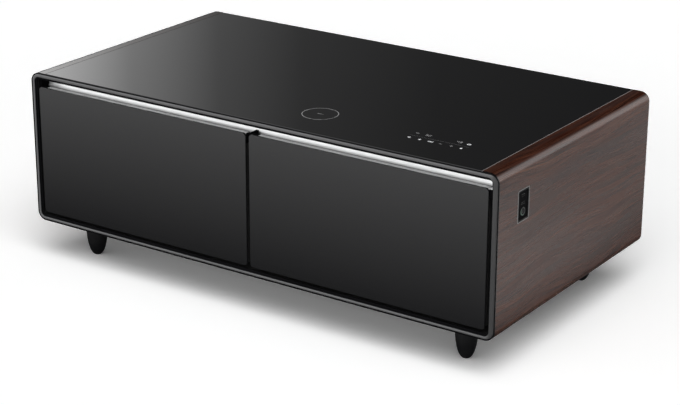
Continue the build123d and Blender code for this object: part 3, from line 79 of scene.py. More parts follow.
BOLT_WIDE = 0.7
FRONT_ROW_Y = -247.4 * MM
REAR_ROW_Y = -213.4 * MM
LAMP_X = 364.5 * MM
LAMP_R = 1.7 * MM
LAMP_RAYS = 8
RAY_START = 2.6 * MM
RAY_END = 4.2 * MM
FLAKE_X = 391.8 * MM
FLAKE_R = 4.0 * MM
FLAKE_ARMS = 3
DRAWER_SIGNS_X = 419.4 * MM
DRAWER_SIGN_SHIFT = 3.4 * MM
DRAWER_SIGN_W = 4.4 * MM
MINUS_X = 444.6 * MM
PLUS_X = 471.7 * MM
SIGN_HALF = 3.4 * MM
LOCK_X = 496.7 * MM
LOCK_HALF_W = 2.6 * MM
LOCK_DOWN = 3.2 * MM
LOCK_UP = 0.6 * MM
SHACKLE_UP = 1.0 * MM
SHACKLE_R = 1.8 * MM
SHACKLE_STEPS = 12
POWER_POINT = (497.5 * MM, -215.3 * MM)
POWER_R = 3.6 * MM
POWER_LINE = 1.7 * MM
POWER_GAP = (radians(125), radians(415))
POWER_STEPS = 28
DASH = (361.7 * MM, 369.7 * MM)
DASH_LINE = 1.6 * MM
FIGURES = ((393.1 * MM, ("afgcd", "abcdef")), (472.1 * MM, ("fgbc", "abgcd")))
DIGIT_SHIFT = 3.6 * MM
DIGIT_H = 8.6 * MM
DIVIDER = (356.5 * MM, 508.5 * MM)
DIVIDER_Y = -231.5 * MM
DIVIDER_LINE = 0.5 * MM
DISC_STEPS = 20

# The feet

FOOT_NAMES = ("foot_front_left", "foot_front_right", "foot_rear_left", "foot_rear_right")
FOOT_TAPER_H = 79.2 * MM
FOOT_TAPER_SEMI = 80.7 * MM
FOOT_BLUNT_POWER = 2.6
FOOT_SLIM = 0.12
FOOT_SLIM_POWER = 0.8
FOOT_RIM = 1.0 * MM
FOOT_TOP_GAP = 0.2 * MM
FOOT_RINGS = 24
FOOT_SIDES = 64

# The front frame, with the seal round it and the lip of the opening behind it

FRAME_LOW, FRAME_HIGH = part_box("front_frame")
FRAME_DEPTH = FRAME_HIGH.y - FRAME_LOW.y
FRAME_W = 12.0 * MM
FRAME_CORNER_R = 23.0 * MM
FRAME_SHARP = radians(50)
JOINT_LINE = 1.2 * MM
SEAL_W = 1.9 * MM
SEAL_WIDER = 1.9 * MM
SEAL_NARROWER = 0.4 * MM
SEAL_SET = 1.0 * MM
SEAL_DEEPER = 2.6 * MM
SEAL_R = 1.4 * MM
BEAD_OUTER_R = 2.6 * MM
BEAD_INNER_R = 2.0 * MM
BEAD_END = 10.0 * MM
BEAD_WIDER = 2.6 * MM
BEAD_CROWN = 0.25 * MM
BEAD_STEPS = 6
# Places along X between which a painted shade darkens the frame's right rail, and the factor its colour
# falls to
BEAD_PAINTED_SHADE = (630 * MM, 642 * MM, 0.38)
STEP_START = 9.8 * MM
STEP_SET = 1.8 * MM
LIP_W = 4.0 * MM
LIP_SET = 4.4 * MM
LIP_DEPTH = 2.6 * MM
LIP_R = 0.8 * MM
CORNER_STEPS = 16
ROUNDING_STEPS = 7

# The veneer behind the frame; its polished edges are given as shares of the corner's radius

VENEER_EDGE_Y = FRAME_HIGH.y + 2.6 * MM
VENEER_EDGE_W = 0.5 * MM
VENEER_UPPER = (0.38, 0.22)
VENEER_LOWER = (0.50, 0.25)

# The pull recess

STRIP_LOW, STRIP_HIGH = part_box("pull_strip")
# Heights between which a painted shade darkens the strip towards the bottom of the recess
STRIP_PAINTED_SHADE = (427 * MM, 439 * MM)
STRIP_T = 1.5 * MM
STRIP_LEAN = 14.0 * MM
STRIP_FLARE_W = 34.0 * MM
STRIP_FLARE_SLOPE = 0.3
STRIP_FLARE_STEPS = 8
STRIP_SHARP = radians(30)
RECESS_END_W = 8.4 * MM
RECESS_END_FRONT = -340.0 * MM
RECESS_END_GAP = 1.0 * MM
RECESS_EDGE = 0.8 * MM
RECESS_POST_HALF = 3.4 * MM
RECESS_LOW_Z = 411.0 * MM
CAP_TOP_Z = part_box("left_pull_cap")[1].z
CAP_END_W = 20.0 * MM
CAP_END_T = 0.5 * MM
CAP_TIP_X = 633.4 * MM
CAP_TIP_T = 0.8 * MM

# The side module and the circuit boards

BUTTON_DISH_R = 30.0 * MM
BUTTON_DISH_DEPTH = 0.5 * MM
BUTTON_SIGN_R = 2.6 * MM
BUTTON_SIGN_LINE = 0.6 * MM
# Distances beyond the opening between which the rim's painted shade gives way to bright steel
RIM_PAINTED_SHADE_EDGE = (1.5 * MM, 1.9 * MM)
TOUCH_BOARD_T = (1.7 * MM, 1.8 * MM)
CONTROL_BOARD_DROP = 1.0 * MM
SWITCH_DROP = (2.0 * MM, 1.0 * MM)

# The floor, by the places along X and Y between which each shade comes in

FLOOR_HALF = 30.0
FLOOR_LEVEL = 1.32
FRONT_SHADE = 0.125
FRONT_SHADE_Y = (-1.45, -0.55)
FRONT_SHADE_END_Y = (-0.02, -0.40)
SIDE_SHADE = (0.84, (0.45, 0.80), (-0.45, -0.15))
REAR_SHADE = 0.62
REAR_SHADE_Y = (0.20, 1.00)
NEAR_SHADE = (0.12, (0.90, 0.72), (-0.36, -0.30))
FAR_SHADE = (0.08, (-0.80, -1.20), (0.35, 0.80))


def place_camera():
    back = Vector((
        sin(VIEW_AZIMUTH) * cos(VIEW_HEIGHT),
        -cos(VIEW_AZIMUTH) * cos(VIEW_HEIGHT),
        sin(VIEW_HEIGHT),
    ))
    level = Vector((cos(VIEW_AZIMUTH), sin(VIEW_AZIMUTH), 0))
    upright = back.cross(level)
    right = level * cos(VIEW_ROLL) + upright * sin(VIEW_ROLL)
    up = upright * cos(VIEW_ROLL) - level * sin(VIEW_ROLL)
    data = bpy.data.cameras.new("camera")
    data.lens = LENS
    data.sensor_width = SENSOR_W
    data.sensor_fit = "HORIZONTAL"
    camera = bpy.data.objects.new("camera", data)
    bpy.context.scene.collection.objects.link(camera)
    turn = Matrix((right, up, back)).transposed().to_4x4()
    camera.matrix_world = Matrix.Translation(VIEW_TARGET + back * VIEW_DISTANCE) @ turn
    bpy.context.scene.camera = camera


# Node-tree helpers

class Tree:
    """Short calls that add shader nodes and link them; a socket is linked, any other value is set."""

    def __init__(self, tree):
        self.tree = tree
        tree.nodes.clear()

    def add(self, kind, inputs=(), **settings):
        item = self.tree.nodes.new(kind)
        for key, value in settings.items():
            setattr(item, key, value)
        for key, value in dict(inputs).items():
            if isinstance(value, bpy.types.NodeSocket):
                self.tree.links.new(value, item.inputs[key])
            else:
                item.inputs[key].default_value = value
        return item

    def place(self, stretch=(1, 1, 1), move=(0, 0, 0)):
        """The object's own coordinates in metres, stretched and moved."""
        spot = self.add("ShaderNodeTexCoord").outputs["Object"]
        return self.add("ShaderNodeMapping", {
            "Vector": spot, "Scale": stretch, "Location": move,
        }).outputs["Vector"]

    def noise(self, vector, scale, detail=3.0, rough=0.55, warp=0.0):
        return self.add("ShaderNodeTexNoise", {
            "Vector": vector, "Scale": scale, "Detail": detail, "Roughness": rough, "Distortion": warp,
        }).outputs["Fac"]

    def maths(self, operation, first, second=0.0, third=0.0):
        return self.add("ShaderNodeMath", {0: first, 1: second, 2: third}, operation=operation).outputs[0]

    def product(self, total, *factors):
        for factor in factors:
            total = self.maths("MULTIPLY", total, factor)
        return total

    def span(self, value, low, high, to_low=0.0, to_high=1.0, smooth=True):
        """Maps value from low..high to to_low..to_high."""
        kind = "SMOOTHSTEP" if smooth else "LINEAR"
        return self.add("ShaderNodeMapRange", {
            "Value": value, "From Min": low, "From Max": high, "To Min": to_low, "To Max": to_high,
        }, interpolation_type=kind).outputs["Result"]

    def swing(self, value, to_low=0.0, to_high=1.0):
        """Maps a noise, which mostly keeps to the middle of 0..1, to to_low..to_high."""
        return self.span(value, 0.3, 0.7, to_low, to_high)

    def patch(self, *ranges):
        """A soft-edged patch: the product of one span for each direction."""
        return self.product(*[self.span(*limits) for limits in ranges])

    def blend(self, share, start, end):
        """Goes evenly from start to end as share goes from 0 to 1."""
        return self.span(share, 0.0, 1.0, start, end, smooth=False)

    def scaled(self, value, share, factor):
        """The value, down to factor times itself where share is 1."""
        return self.maths("MULTIPLY", value, self.blend(share, 1.0, factor))

    def mix(self, share, first, second):
        item = self.add("ShaderNodeMix", data_type="RGBA")
        for index, value in ((0, share), (6, first), (7, second)):
            if isinstance(value, bpy.types.NodeSocket):
                self.tree.links.new(value, item.inputs[index])
            elif index:
                item.inputs[index].default_value = (*value, 1)
            else:
                item.inputs[index].default_value = value
        return item.outputs[2]

    def ramp(self, value, stops):
        item = self.add("ShaderNodeValToRGB", {"Fac": value})
        marks = item.color_ramp.elements
        while len(marks) < len(stops):
            marks.new(1.0)
        for mark, (position, color) in zip(marks, stops):
            mark.position = position
            mark.color = (*color, 1)
        return item.outputs["Color"]

    def parts(self, vector):
        return self.add("ShaderNodeSeparateXYZ", {"Vector": vector}).outputs

    def joined(self, x, y, z=0.0):
        return self.add("ShaderNodeCombineXYZ", {"X": x, "Y": y, "Z": z}).outputs[0]

    def bump(self, height, depth, strength=1.0):
        return self.add("ShaderNodeBump", {
            "Height": height, "Distance": depth, "Strength": strength,
        }).outputs["Normal"]

    def shader(self, **inputs):
        named = {key.replace("_", " "): value for key, value in inputs.items()}
        self.finish(self.add("ShaderNodeBsdfPrincipled", named).outputs["BSDF"])

    def finish(self, surface):
        self.add("ShaderNodeOutputMaterial", {"Surface": surface})


def new_material(name):
    material = bpy.data.materials.new(name)
    material.use_nodes = True
    return material, Tree(material.node_tree)


def tint(color, factor):
    return tuple(min(1.0, part * factor) for part in color)


# Materials

def speckled(name, color, rough, metal=0.0, vary=0.12, grain=900.0, depth=0.02, patch=9.0,
             rough_vary=0.08, coat=0.0, shine=0.5, dim=None):
    """A moulded or painted finish: faint patches of colour, a fine grain and uneven gloss.

    dim gives two places along X and a factor that the colour falls to between them, as a painted shade.
    """
    material, tree = new_material(name)
    spot = tree.place()
    patches = tree.noise(spot, patch, 4.0)
    fine = tree.noise(spot, grain, 2.0)
    shade = tree.mix(tree.swing(patches), tint(color, 1 - vary), tint(color, 1 + vary))
    # A painted shade: the colour falls to the factor between the two places along X.
    if dim:
        start, end, factor = dim
        shade = tree.mix(tree.span(tree.parts(spot)[0], start, end), shade, tint(color, factor))
    tree.shader(
        Base_Color=shade, Metallic=metal, Coat_Weight=coat, Coat_Roughness=0.2, Specular_IOR_Level=shine,
        Roughness=tree.swing(tree.noise(spot, patch * 4, 5.0), rough - rough_vary, rough + rough_vary),
        Normal=tree.bump(fine, depth * MM),
    )
    return material


def brush_marks(tree, along):
    """Fine lines along one axis, and the drawn-out place that they are taken from."""
    stretch = [1.0, 1.0, 1.0]
    stretch["XYZ".index(along)] = 0.012
    spot = tree.place(stretch)
    return tree.noise(spot, 2600.0, 2.0, 0.6), spot


def brushed(name, color, rough, along, drawn=0.75, painted_shade_heights=None):
    """Brushed metal: fine lines along one axis, and a reflection drawn out across them.

    The last argument gives two heights for a painted shade: the metal darkens from the upper one down to
    the lower one.
    """
    material, tree = new_material(name)
    lines, spot = brush_marks(tree, along)
    shade = tree.mix(tree.swing(tree.noise(spot, 320.0, 3.0)), tint(color, 0.9), tint(color, 1.05))
    # A painted shade darkens the metal from the upper height down to the lower one.
    if painted_shade_heights:
        height = tree.parts(tree.place())[2]
        shade = tree.mix(tree.span(height, *painted_shade_heights, 1.0, 0.0), shade, tint(color, 0.12))
    gloss = tree.span(lines, 0.25, 0.75, rough - 0.07, rough + 0.07)
    tangent = tree.add("ShaderNodeTangent", direction_type="RADIAL", axis=along).outputs["Tangent"]
    tree.shader(
        Base_Color=shade, Metallic=1.0, Roughness=gloss, Anisotropic=drawn, Tangent=tangent,
        Normal=tree.bump(lines, 0.01 * MM),
    )
    return material


def veneer():
    """Walnut under a satin lacquer. The grain runs along Y, rises a little and fans out."""
    material, tree = new_material("walnut_veneer")
    x, y, z = tree.parts(tree.place())
    # Across the panel is z on the side and x on the wrapped edges: their difference is continuous there.
    across = tree.maths("SUBTRACT", z, tree.maths("ABSOLUTE", x))
    flow = tree.noise(tree.place((1.0, 0.9, 2.2)), 2.6, 2.0, 0.4)
    sway = tree.maths("MULTIPLY_ADD", flow, 0.07, tree.maths("MULTIPLY", y, 0.02))
    bent = tree.maths("ADD", across, sway)

    def grain(stretch, *settings):
        """A noise whose marks are drawn out along the grain, the more so the smaller stretch is."""
        return tree.noise(tree.joined(bent, tree.maths("MULTIPLY", y, stretch)), *settings)

    sheet = 0.034
    streak = grain(sheet, 95.0, 4.0, 0.65, 0.25)
    fine = grain(0.013, 620.0, 3.0, 0.6)
    thin = grain(0.011, 230.0, 3.0, 0.6, 0.15)
    pores = tree.span(grain(0.06, 1500.0, 1.0), 0.60, 0.74)
    color = tree.ramp(grain(sheet, 26.0, 4.0, 0.6, 0.4), [
        (0.22, (0.014, 0.0022, 0.0010)),
        (0.40, (0.027, 0.0046, 0.0018)),
        (0.55, (0.040, 0.0076, 0.0028)),
        (0.75, (0.062, 0.0155, 0.0062)),
    ])
    color = tree.mix(tree.span(streak, 0.34, 0.56, 0.75, 0.0), color, (0.007, 0.0016, 0.0010))
    color = tree.mix(tree.span(thin, 0.34, 0.50, 0.75, 0.0), color, (0.005, 0.0014, 0.0009))
    sunny = tree.span(grain(sheet, 14.0, 2.0, 0.5), 0.52, 0.68, 0.30, 0.95)
    color = tree.mix(tree.product(tree.span(thin, 0.48, 0.68), sunny), color, (0.128, 0.050, 0.025))
    color = tree.mix(tree.span(fine, 0.42, 0.66, 0.0, 0.7), color, (0.095, 0.036, 0.020))
    cool = tree.span(grain(sheet, 11.0, 2.0), 0.48, 0.68, 0.0, 0.3)
    color = tree.mix(cool, color, (0.026, 0.024, 0.026))
    color = tree.mix(tree.product(pores, 0.8), color, (0.007, 0.003, 0.002))
    front = tree.span(y, VENEER_EDGE_Y, VENEER_EDGE_Y - VENEER_EDGE_W)
    color = tree.mix(front, color, (0.004, 0.002, 0.002))

    # The rounded upper and lower edges are polished smooth.
    upper = tree.span(z, *[FRAME_HIGH.z - share * FRAME_CORNER_R for share in VENEER_UPPER])
    lower = tree.span(z, *[FRAME_LOW.z + share * FRAME_CORNER_R for share in VENEER_LOWER])
    polish = tree.maths("MAXIMUM", upper, lower)
    relief = tree.maths("SUBTRACT", fine, tree.product(pores, 0.7))
    # A painted shade darkens the left panel's upper face, which shines like the glass beside it.
    painted_shade_left_top = tree.product(upper, tree.maths("LESS_THAN", x, 0.0))
    color = tree.mix(tree.product(painted_shade_left_top, 0.85), color, (0.004, 0.003, 0.003))
    tree.shader(
        Base_Color=color, Roughness=tree.blend(polish, tree.swing(streak, 0.22, 0.32), 0.07),
        Specular_IOR_Level=tree.span(tree.maths("SUBTRACT", upper, painted_shade_left_top), 0.0, 1.0, 0.5, 0.15),
        Normal=tree.bump(tree.scaled(relief, polish, 0.1), 0.03 * MM),
    )
    return material


def black_glass():
    """Black tempered glass with the faintest unevenness and dust; the top's side edges are finished by
    grinding, and their paler colour is partly that finish and partly a painted highlight.
    """
    material, tree = new_material("black_tempered_glass")
    spot = tree.place()
    x, _, z = tree.parts(spot)
    dust = tree.span(tree.noise(spot, 1400.0, 2.0), 0.66, 0.8)
    color = tree.mix(tree.product(dust, 0.25), (0.0062, 0.0062, 0.0068), (0.02, 0.02, 0.022))
    # The side edges are paler: partly their grinding, partly a painted highlight.
    edge_grinding_and_highlight = tree.product(
        tree.span(tree.maths("ABSOLUTE", x), *[GLASS_HIGH.x - width for width in GROUND_EDGE]),
        tree.maths("GREATER_THAN", z, GLASS_LOW.z - GROUND_EDGE_DROP))
    tree.shader(
        Base_Color=tree.mix(edge_grinding_and_highlight, color, (0.15, 0.12, 0.115)), IOR=1.52,
        Roughness=tree.swing(tree.noise(spot, 5.0, 3.0), 0.025, 0.05),
        Normal=tree.bump(tree.noise(spot, 3.5, 1.0), 0.012 * MM, 0.5),
    )
    return material


def mdf():
    """Pale fibreboard: short matted fibres and flecks."""
    material, tree = new_material("fibreboard")
    fibres = tree.noise(tree.place((1, 0.35, 1)), 420.0, 5.0, 0.7, 1.2)
    flecks = tree.span(tree.noise(tree.place(), 900.0, 2.0), 0.62, 0.78)
    shade = tree.ramp(fibres, [
        (0.3, (0.42, 0.31, 0.20)), (0.5, (0.55, 0.42, 0.28)), (0.72, (0.66, 0.53, 0.37)),
    ])
    tree.shader(
        Base_Color=tree.mix(tree.product(flecks, 0.6), shade, (0.30, 0.20, 0.12)),
        Roughness=tree.swing(fibres, 0.7, 0.9), Normal=tree.bump(fibres, 0.08 * MM),
    )
    return material


def foam():
    """Rigid insulating foam: closed cells in a pale yellow block."""
    material, tree = new_material("insulating_foam")
    spot = tree.place()
    cells = tree.add("ShaderNodeTexVoronoi", {"Vector": spot, "Scale": 380.0}).outputs["Distance"]
    clouds = tree.noise(spot, 14.0, 4.0)
    tree.shader(
        Base_Color=tree.mix(tree.swing(clouds), (0.78, 0.71, 0.50), (0.88, 0.84, 0.68)),
        Roughness=tree.swing(clouds, 0.75, 0.9), Normal=tree.bump(cells, 0.25 * MM),
    )
    return material


def coil():
    """A wound copper coil on a dark ferrite plate: the turns are rings round the coil's centre."""
    material, tree = new_material("coil_winding")
    spot = tree.place(move=(-COIL_X, -COIL_Y, -COIL_Z))
    x, y, _ = tree.parts(spot)
    away = tree.add("ShaderNodeVectorMath", {0: tree.joined(x, y)}, operation="LENGTH").outputs["Value"]
    wire = tree.span(tree.maths("SINE", tree.product(away, 2 * pi / COIL_TURN_PITCH)), -1.0, 1.0)
    wound = tree.mix(wire, (0.25, 0.09, 0.04), (0.80, 0.42, 0.25))
    plate = tree.mix(tree.noise(spot, 700.0, 3.0), (0.035, 0.035, 0.038), (0.07, 0.07, 0.072))
    beyond = tree.span(away, *COIL_WOUND_R)
    tree.shader(
        Base_Color=tree.mix(beyond, wound, plate), Metallic=tree.maths("SUBTRACT", 1.0, beyond),
        Roughness=tree.swing(tree.noise(spot, 160.0), 0.3, 0.5), Normal=tree.bump(wire, 0.3 * MM),
    )
    return material


def circuit(name, low, high):
    """A green laminate with fine tracks; whatever stands above it is dark component plastic."""
    material, tree = new_material(name)
    spot = tree.place()
    tracks = tree.add("ShaderNodeTexVoronoi", {"Vector": spot, "Scale": 260.0},
                      distance="MANHATTAN", feature="F2").outputs["Distance"]
    board = tree.mix(tree.span(tracks, 0.62, 0.66), (0.030, 0.17, 0.08), (0.06, 0.30, 0.14))
    chip = tree.mix(tree.noise(spot, 900.0), (0.018, 0.018, 0.02), (0.04, 0.04, 0.042))
    part = tree.span(tree.parts(spot)[2], low, high, smooth=False)
    tree.shader(
        Base_Color=tree.mix(part, board, chip), Roughness=tree.span(part, 0, 1, 0.32, 0.5),
        Normal=tree.bump(tracks, 0.05 * MM),
    )
    return material


def ring_light():
    """A translucent ring round the power button, lit from behind; its lower half is the brightest."""
    low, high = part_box("button_ring")
    material, tree = new_material("lit_ring")
    spot = tree.place()
    _, y, z = tree.parts(spot)
    drop = tree.span(z, high.z, low.z)
    side = tree.span(y, high.y, low.y)
    share = tree.span(tree.maths("ADD", drop, side), 0.7, 1.6)
    tree.shader(
        Base_Color=tree.mix(share, (0.010, 0.012, 0.011), (0.075, 0.115, 0.095)),
        Roughness=tree.swing(tree.noise(spot, 500.0), 0.25, 0.35),
        Emission_Color=tree.mix(share, (0.01, 0.02, 0.015), (0.20, 0.36, 0.28)), Emission_Strength=0.06,
        Normal=tree.bump(tree.noise(spot, 900.0), 0.02 * MM),
    )
    return material


def bezel():
    """The module's metal rim: a bright outer band, and a painted shade that turns its inner edge black
    where a shaded inner bevel would be.
    """
    low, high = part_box("module_bezel")
    inner_low, inner_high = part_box("module_housing")
    material, tree = new_material("rimmed_steel")
    _, y, z = tree.parts(tree.place())
    reach = []
    for value, start, end, inner in ((y, low.y, high.y, inner_high.y - inner_low.y),
                                     (z, low.z, high.z, inner_high.z - inner_low.z)):
        off = tree.maths("ABSOLUTE", tree.maths("SUBTRACT", value, (start + end) / 2))
        reach.append(tree.maths("SUBTRACT", off, inner / 2))
    # A painted shade turns the rim black next to the opening, standing in for a shaded inner bevel.
    bright = tree.span(tree.maths("MAXIMUM", *reach), *RIM_PAINTED_SHADE_EDGE)
    lines, _ = brush_marks(tree, "Z")
    steel = tree.mix(tree.swing(lines), (0.20, 0.20, 0.20), (0.26, 0.26, 0.26))
    tree.shader(
        Base_Color=tree.mix(bright, (0.004, 0.004, 0.004), steel), Metallic=bright,
        Roughness=tree.swing(lines, 0.28, 0.38), Specular_IOR_Level=0.1,
        Normal=tree.bump(lines, 0.01 * MM),
    )
    return material


def print_ink(name, color, light=0.0):
    """Screen-printed ink or a lit symbol, a little uneven in its cover."""
    material, tree = new_material(name)
    cover = tree.noise(tree.place(), 1600.0, 2.0)
    shade = tree.mix(tree.swing(cover), tint(color, 0.85), tint(color, 1.1))
    tree.shader(
        Base_Color=shade, Roughness=tree.swing(cover, 0.25, 0.4),
        Emission_Color=shade, Emission_Strength=light, Normal=tree.bump(cover, 0.01 * MM),
    )
    return material


def dress_nodes():
    slots = {
        "veneer": veneer(),
        "board": mdf(),
        "black_laminate": speckled("black_laminate", (0.03, 0.03, 0.03), 0.45, grain=1300.0, depth=0.04),
        "skinned_foam": speckled("black_foam_skin", (0.025, 0.025, 0.025), 0.6, vary=0.15,
                                 grain=1000.0, depth=0.05),
        "black_glass": black_glass(),
        "frame_paint": speckled("frame_powder_coat", (0.090, 0.090, 0.092), 0.42, vary=0.06, grain=1500.0,
                                depth=0.015, patch=6.0, rough_vary=0.04, shine=0.35, dim=BEAD_PAINTED_SHADE),
        "black_trim": speckled("black_moulding", (0.010, 0.010, 0.010), 0.62),
        "black_sheet": speckled("black_powder_coat", (0.03, 0.03, 0.03), 0.6, metal=0.2, vary=0.15,
                                grain=1200.0, depth=0.05),
        "compressor_paint": speckled("compressor_enamel", (0.016, 0.016, 0.017), 0.35, metal=0.1, vary=0.2,
                                     grain=300.0, depth=0.08, patch=14.0, rough_vary=0.07, coat=0.4),
        "foam": foam(),
        "liner_plastic": speckled("white_liner", (0.86, 0.87, 0.88), 0.36, vary=0.02, grain=700.0,
                                  rough_vary=0.02),
        "bin_plastic": speckled("bin_plastic", (0.78, 0.82, 0.84), 0.36, vary=0.02, grain=700.0,
                                depth=0.01, patch=7.0, rough_vary=0.02),
        "seal_rubber": speckled("seal_rubber", (0.28, 0.28, 0.29), 0.7, vary=0.1, grain=1400.0, depth=0.04),
        "zinc_steel": brushed("zinc_steel", (0.60, 0.61, 0.62), 0.34, "Y"),
        "bezel_steel": brushed("bezel_steel", (0.145, 0.145, 0.145), 0.32, "Z"),
        "foot_plastic": speckled("foot_moulding", (0.005, 0.005, 0.0055), 0.42, vary=0.2, grain=1100.0,
                                 depth=0.03, shine=0.3),
        "button_plastic": speckled("button_moulding", (0.04, 0.04, 0.04), 0.4, grain=1600.0),
        "ring_light": ring_light(),
        "heat_exchanger": brushed("rolled_aluminium", (0.68, 0.69, 0.70), 0.4, "Z"),
        "copper_tube": speckled("copper_tube", (0.72, 0.36, 0.20), 0.3, metal=1.0, vary=0.18, grain=500.0,
                                patch=30.0),
        "supply_case": brushed("supply_case", (0.58, 0.59, 0.60), 0.38, "X"),
    }
    touch_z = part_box("touch_board")[0].z
    switch_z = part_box("button_switch")[0].z
    board_low, board_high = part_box("control_board")
    satin = brushed("satin_aluminium", (0.94, 0.945, 0.95), 0.72, "X", drawn=0.2)
    special = {
        "pull_strip": brushed("strip_aluminium", (0.84, 0.845, 0.85), 0.46, "X", drawn=0.35,
                              painted_shade_heights=STRIP_PAINTED_SHADE),
        "left_pull_cap": satin,
        "right_pull_cap": satin,
        "module_housing": speckled("socket_moulding", (0.003, 0.003, 0.0035), 0.7, shine=0.03),
        "power_button": speckled("button_face", (0.012, 0.012, 0.013), 0.5, grain=1600.0, shine=0.06),
        "module_bezel": bezel(),
        "charging_coil": coil(),
        "touch_board": circuit("touch_circuit", *[touch_z + rise for rise in TOUCH_BOARD_T]),
        "control_board": circuit("control_circuit", board_high.z - CONTROL_BOARD_DROP, board_low.z),
        "button_switch": circuit("switch_circuit", *[switch_z - drop for drop in SWITCH_DROP]),
    }
    for name, item in NODES.items():
        for index, material in enumerate(item.data.materials):
            base = material.name.split(".")[0]
            item.data.materials[index] = special.get(name) or slots[base]


# Mesh helpers

def polar(centre, radius, turn):
    return centre[0] + radius * cos(turn), centre[1] + radius * sin(turn)


def skin(shape, rings):
    """Joins each ring of corners to the next one; a ring may be a single point."""
    for here, there in zip(rings, rings[1:]):
        count = max(len(here), len(there))
        for step in range(count):
            after = (step + 1) % count
            corners = (here[step % len(here)], here[after % len(here)],
                       there[after % len(there)], there[step % len(there)])
            shape.faces.new(list(dict.fromkeys(corners)))


def to_mesh(name, shape):
    mesh = bpy.data.meshes.new(name)
    shape.to_mesh(mesh)
    shape.free()
    return mesh


def link_piece(name, mesh, material, body, smooth=True):
    piece = bpy.data.objects.new(name, mesh)
    bpy.context.scene.collection.objects.link(piece)
    mesh.materials.append(material)
    if smooth:
        mesh.shade_smooth()
    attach(piece, body)
    return piece


def lathe(name, outline, centre, sides):
    """A closed round mesh from (radius, height) points; an end with no radius is one point."""
    shape = bmesh.new()
    rings = []
    for radius, height in outline:
        turns = [2 * pi * step / sides for step in range(sides if radius else 1)]
        rings.append([shape.verts.new((*polar(centre, radius, turn), height)) for turn in turns])
    skin(shape, rings)
    shape.normal_update()
    return to_mesh(name, shape)


def block(name, low, high, edge, material="socket_moulding", body="cabinet"):
    """A box with small rounded edges, black unless it is told otherwise."""
    shape = bmesh.new()
    bmesh.ops.create_cube(shape)
    for corner in shape.verts:
        corner.co = [low[k] if corner.co[k] < 0 else high[k] for k in range(3)]
    bmesh.ops.bevel(shape, geom=shape.edges, offset=edge, segments=2, affect="EDGES")
    mesh = to_mesh(name, shape)
    link_piece(name, mesh, bpy.data.materials[material], body)
    mesh.set_sharp_from_angle(angle=FRAME_SHARP)


def make_feet():
    """Round feet that narrow to a blunt tip."""
    material = bpy.data.materials["foot_moulding"]
    for name in FOOT_NAMES:
        low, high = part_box(name)
        centre = (low + high) / 2
        radius = (high.x - low.x) / 2
        top = high.z - FOOT_TOP_GAP
        outline = [(0, low.z)]
        for step in range(FOOT_RINGS + 1):
            z = FOOT_TAPER_H * (step / FOOT_RINGS) ** 2
            fall = ((FOOT_TAPER_H - z) / FOOT_TAPER_SEMI) ** FOOT_BLUNT_POWER
            slim = 1 - FOOT_SLIM * (1 - z / (high.z - low.z)) ** FOOT_SLIM_POWER
            outline.append((radius * slim * (1 - fall) ** (1 / FOOT_BLUNT_POWER), low.z + z))
        outline += [(radius, top - FOOT_RIM), (radius - FOOT_RIM, top), (0, top)]
        piece = link_piece(name.replace("foot", "round_foot"), lathe(name, outline, centre, FOOT_SIDES),
                           material, "cabinet")
        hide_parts(name)


def rounding(centre, radius, start, end):
    """Points on an arc in a cross-section, between two angles in degrees."""
    return [polar(centre, radius, radians(start + (end - start) * step / ROUNDING_STEPS))
            for step in range(ROUNDING_STEPS + 1)]


# Cross-sections of the rings, as (distance in from the frame's outer edge, depth from its front) points.
# turn is the angle from the frame's right side. The black seal is partly a real joint; its extra width on
# the left and below is a dark band standing in for shade there. On the right it is narrow and set back, and
# the bead in front of it is wider.

def rightward(turn):
    return max(0, cos(turn))


def seal_width(turn):
    return SEAL_W + SEAL_WIDER * max(0, -cos(turn), -sin(turn)) - SEAL_NARROWER * rightward(turn)


def seal_outline(turn):
    front = SEAL_SET + SEAL_DEEPER * rightward(turn)
    inner = seal_width(turn)
    joint = FRAME_DEPTH - JOINT_LINE
    return ([(JOINT_LINE, FRAME_DEPTH), (JOINT_LINE, joint), (0, joint)]
            + rounding((SEAL_R, front + SEAL_R), SEAL_R, 180, 270)
            + [(inner, front), (inner, FRAME_DEPTH)])


def bead_outline(turn):
    outer = seal_width(turn)
    inner = BEAD_END + BEAD_WIDER * rightward(turn)
    start, end = outer + BEAD_OUTER_R, inner - BEAD_INNER_R
    crown = [(start + (end - start) * k / BEAD_STEPS, BEAD_CROWN * (2 * k / BEAD_STEPS - 1) ** 2)
             for k in range(1, BEAD_STEPS)]
    return ([(outer, FRAME_DEPTH)]
            + rounding((start, BEAD_CROWN + BEAD_OUTER_R), BEAD_OUTER_R, 180, 270)
            + crown
            + rounding((end, BEAD_CROWN + BEAD_INNER_R), BEAD_INNER_R, 270, 360)
            + [(inner, FRAME_DEPTH)])


# The lip is the opening's black lining, and it also stands in for the shade and dark reflection below the
# frame's inner edge.
def lip_outline(_):
    inner = FRAME_W + LIP_W
    return [(STEP_START, LIP_SET + LIP_DEPTH), (STEP_START, STEP_SET), (FRAME_W - LIP_R, STEP_SET),
            (FRAME_W, STEP_SET + LIP_R), (FRAME_W, LIP_SET), (inner - LIP_R, LIP_SET),
            (inner, LIP_SET + LIP_R), (inner, LIP_SET + LIP_DEPTH)]


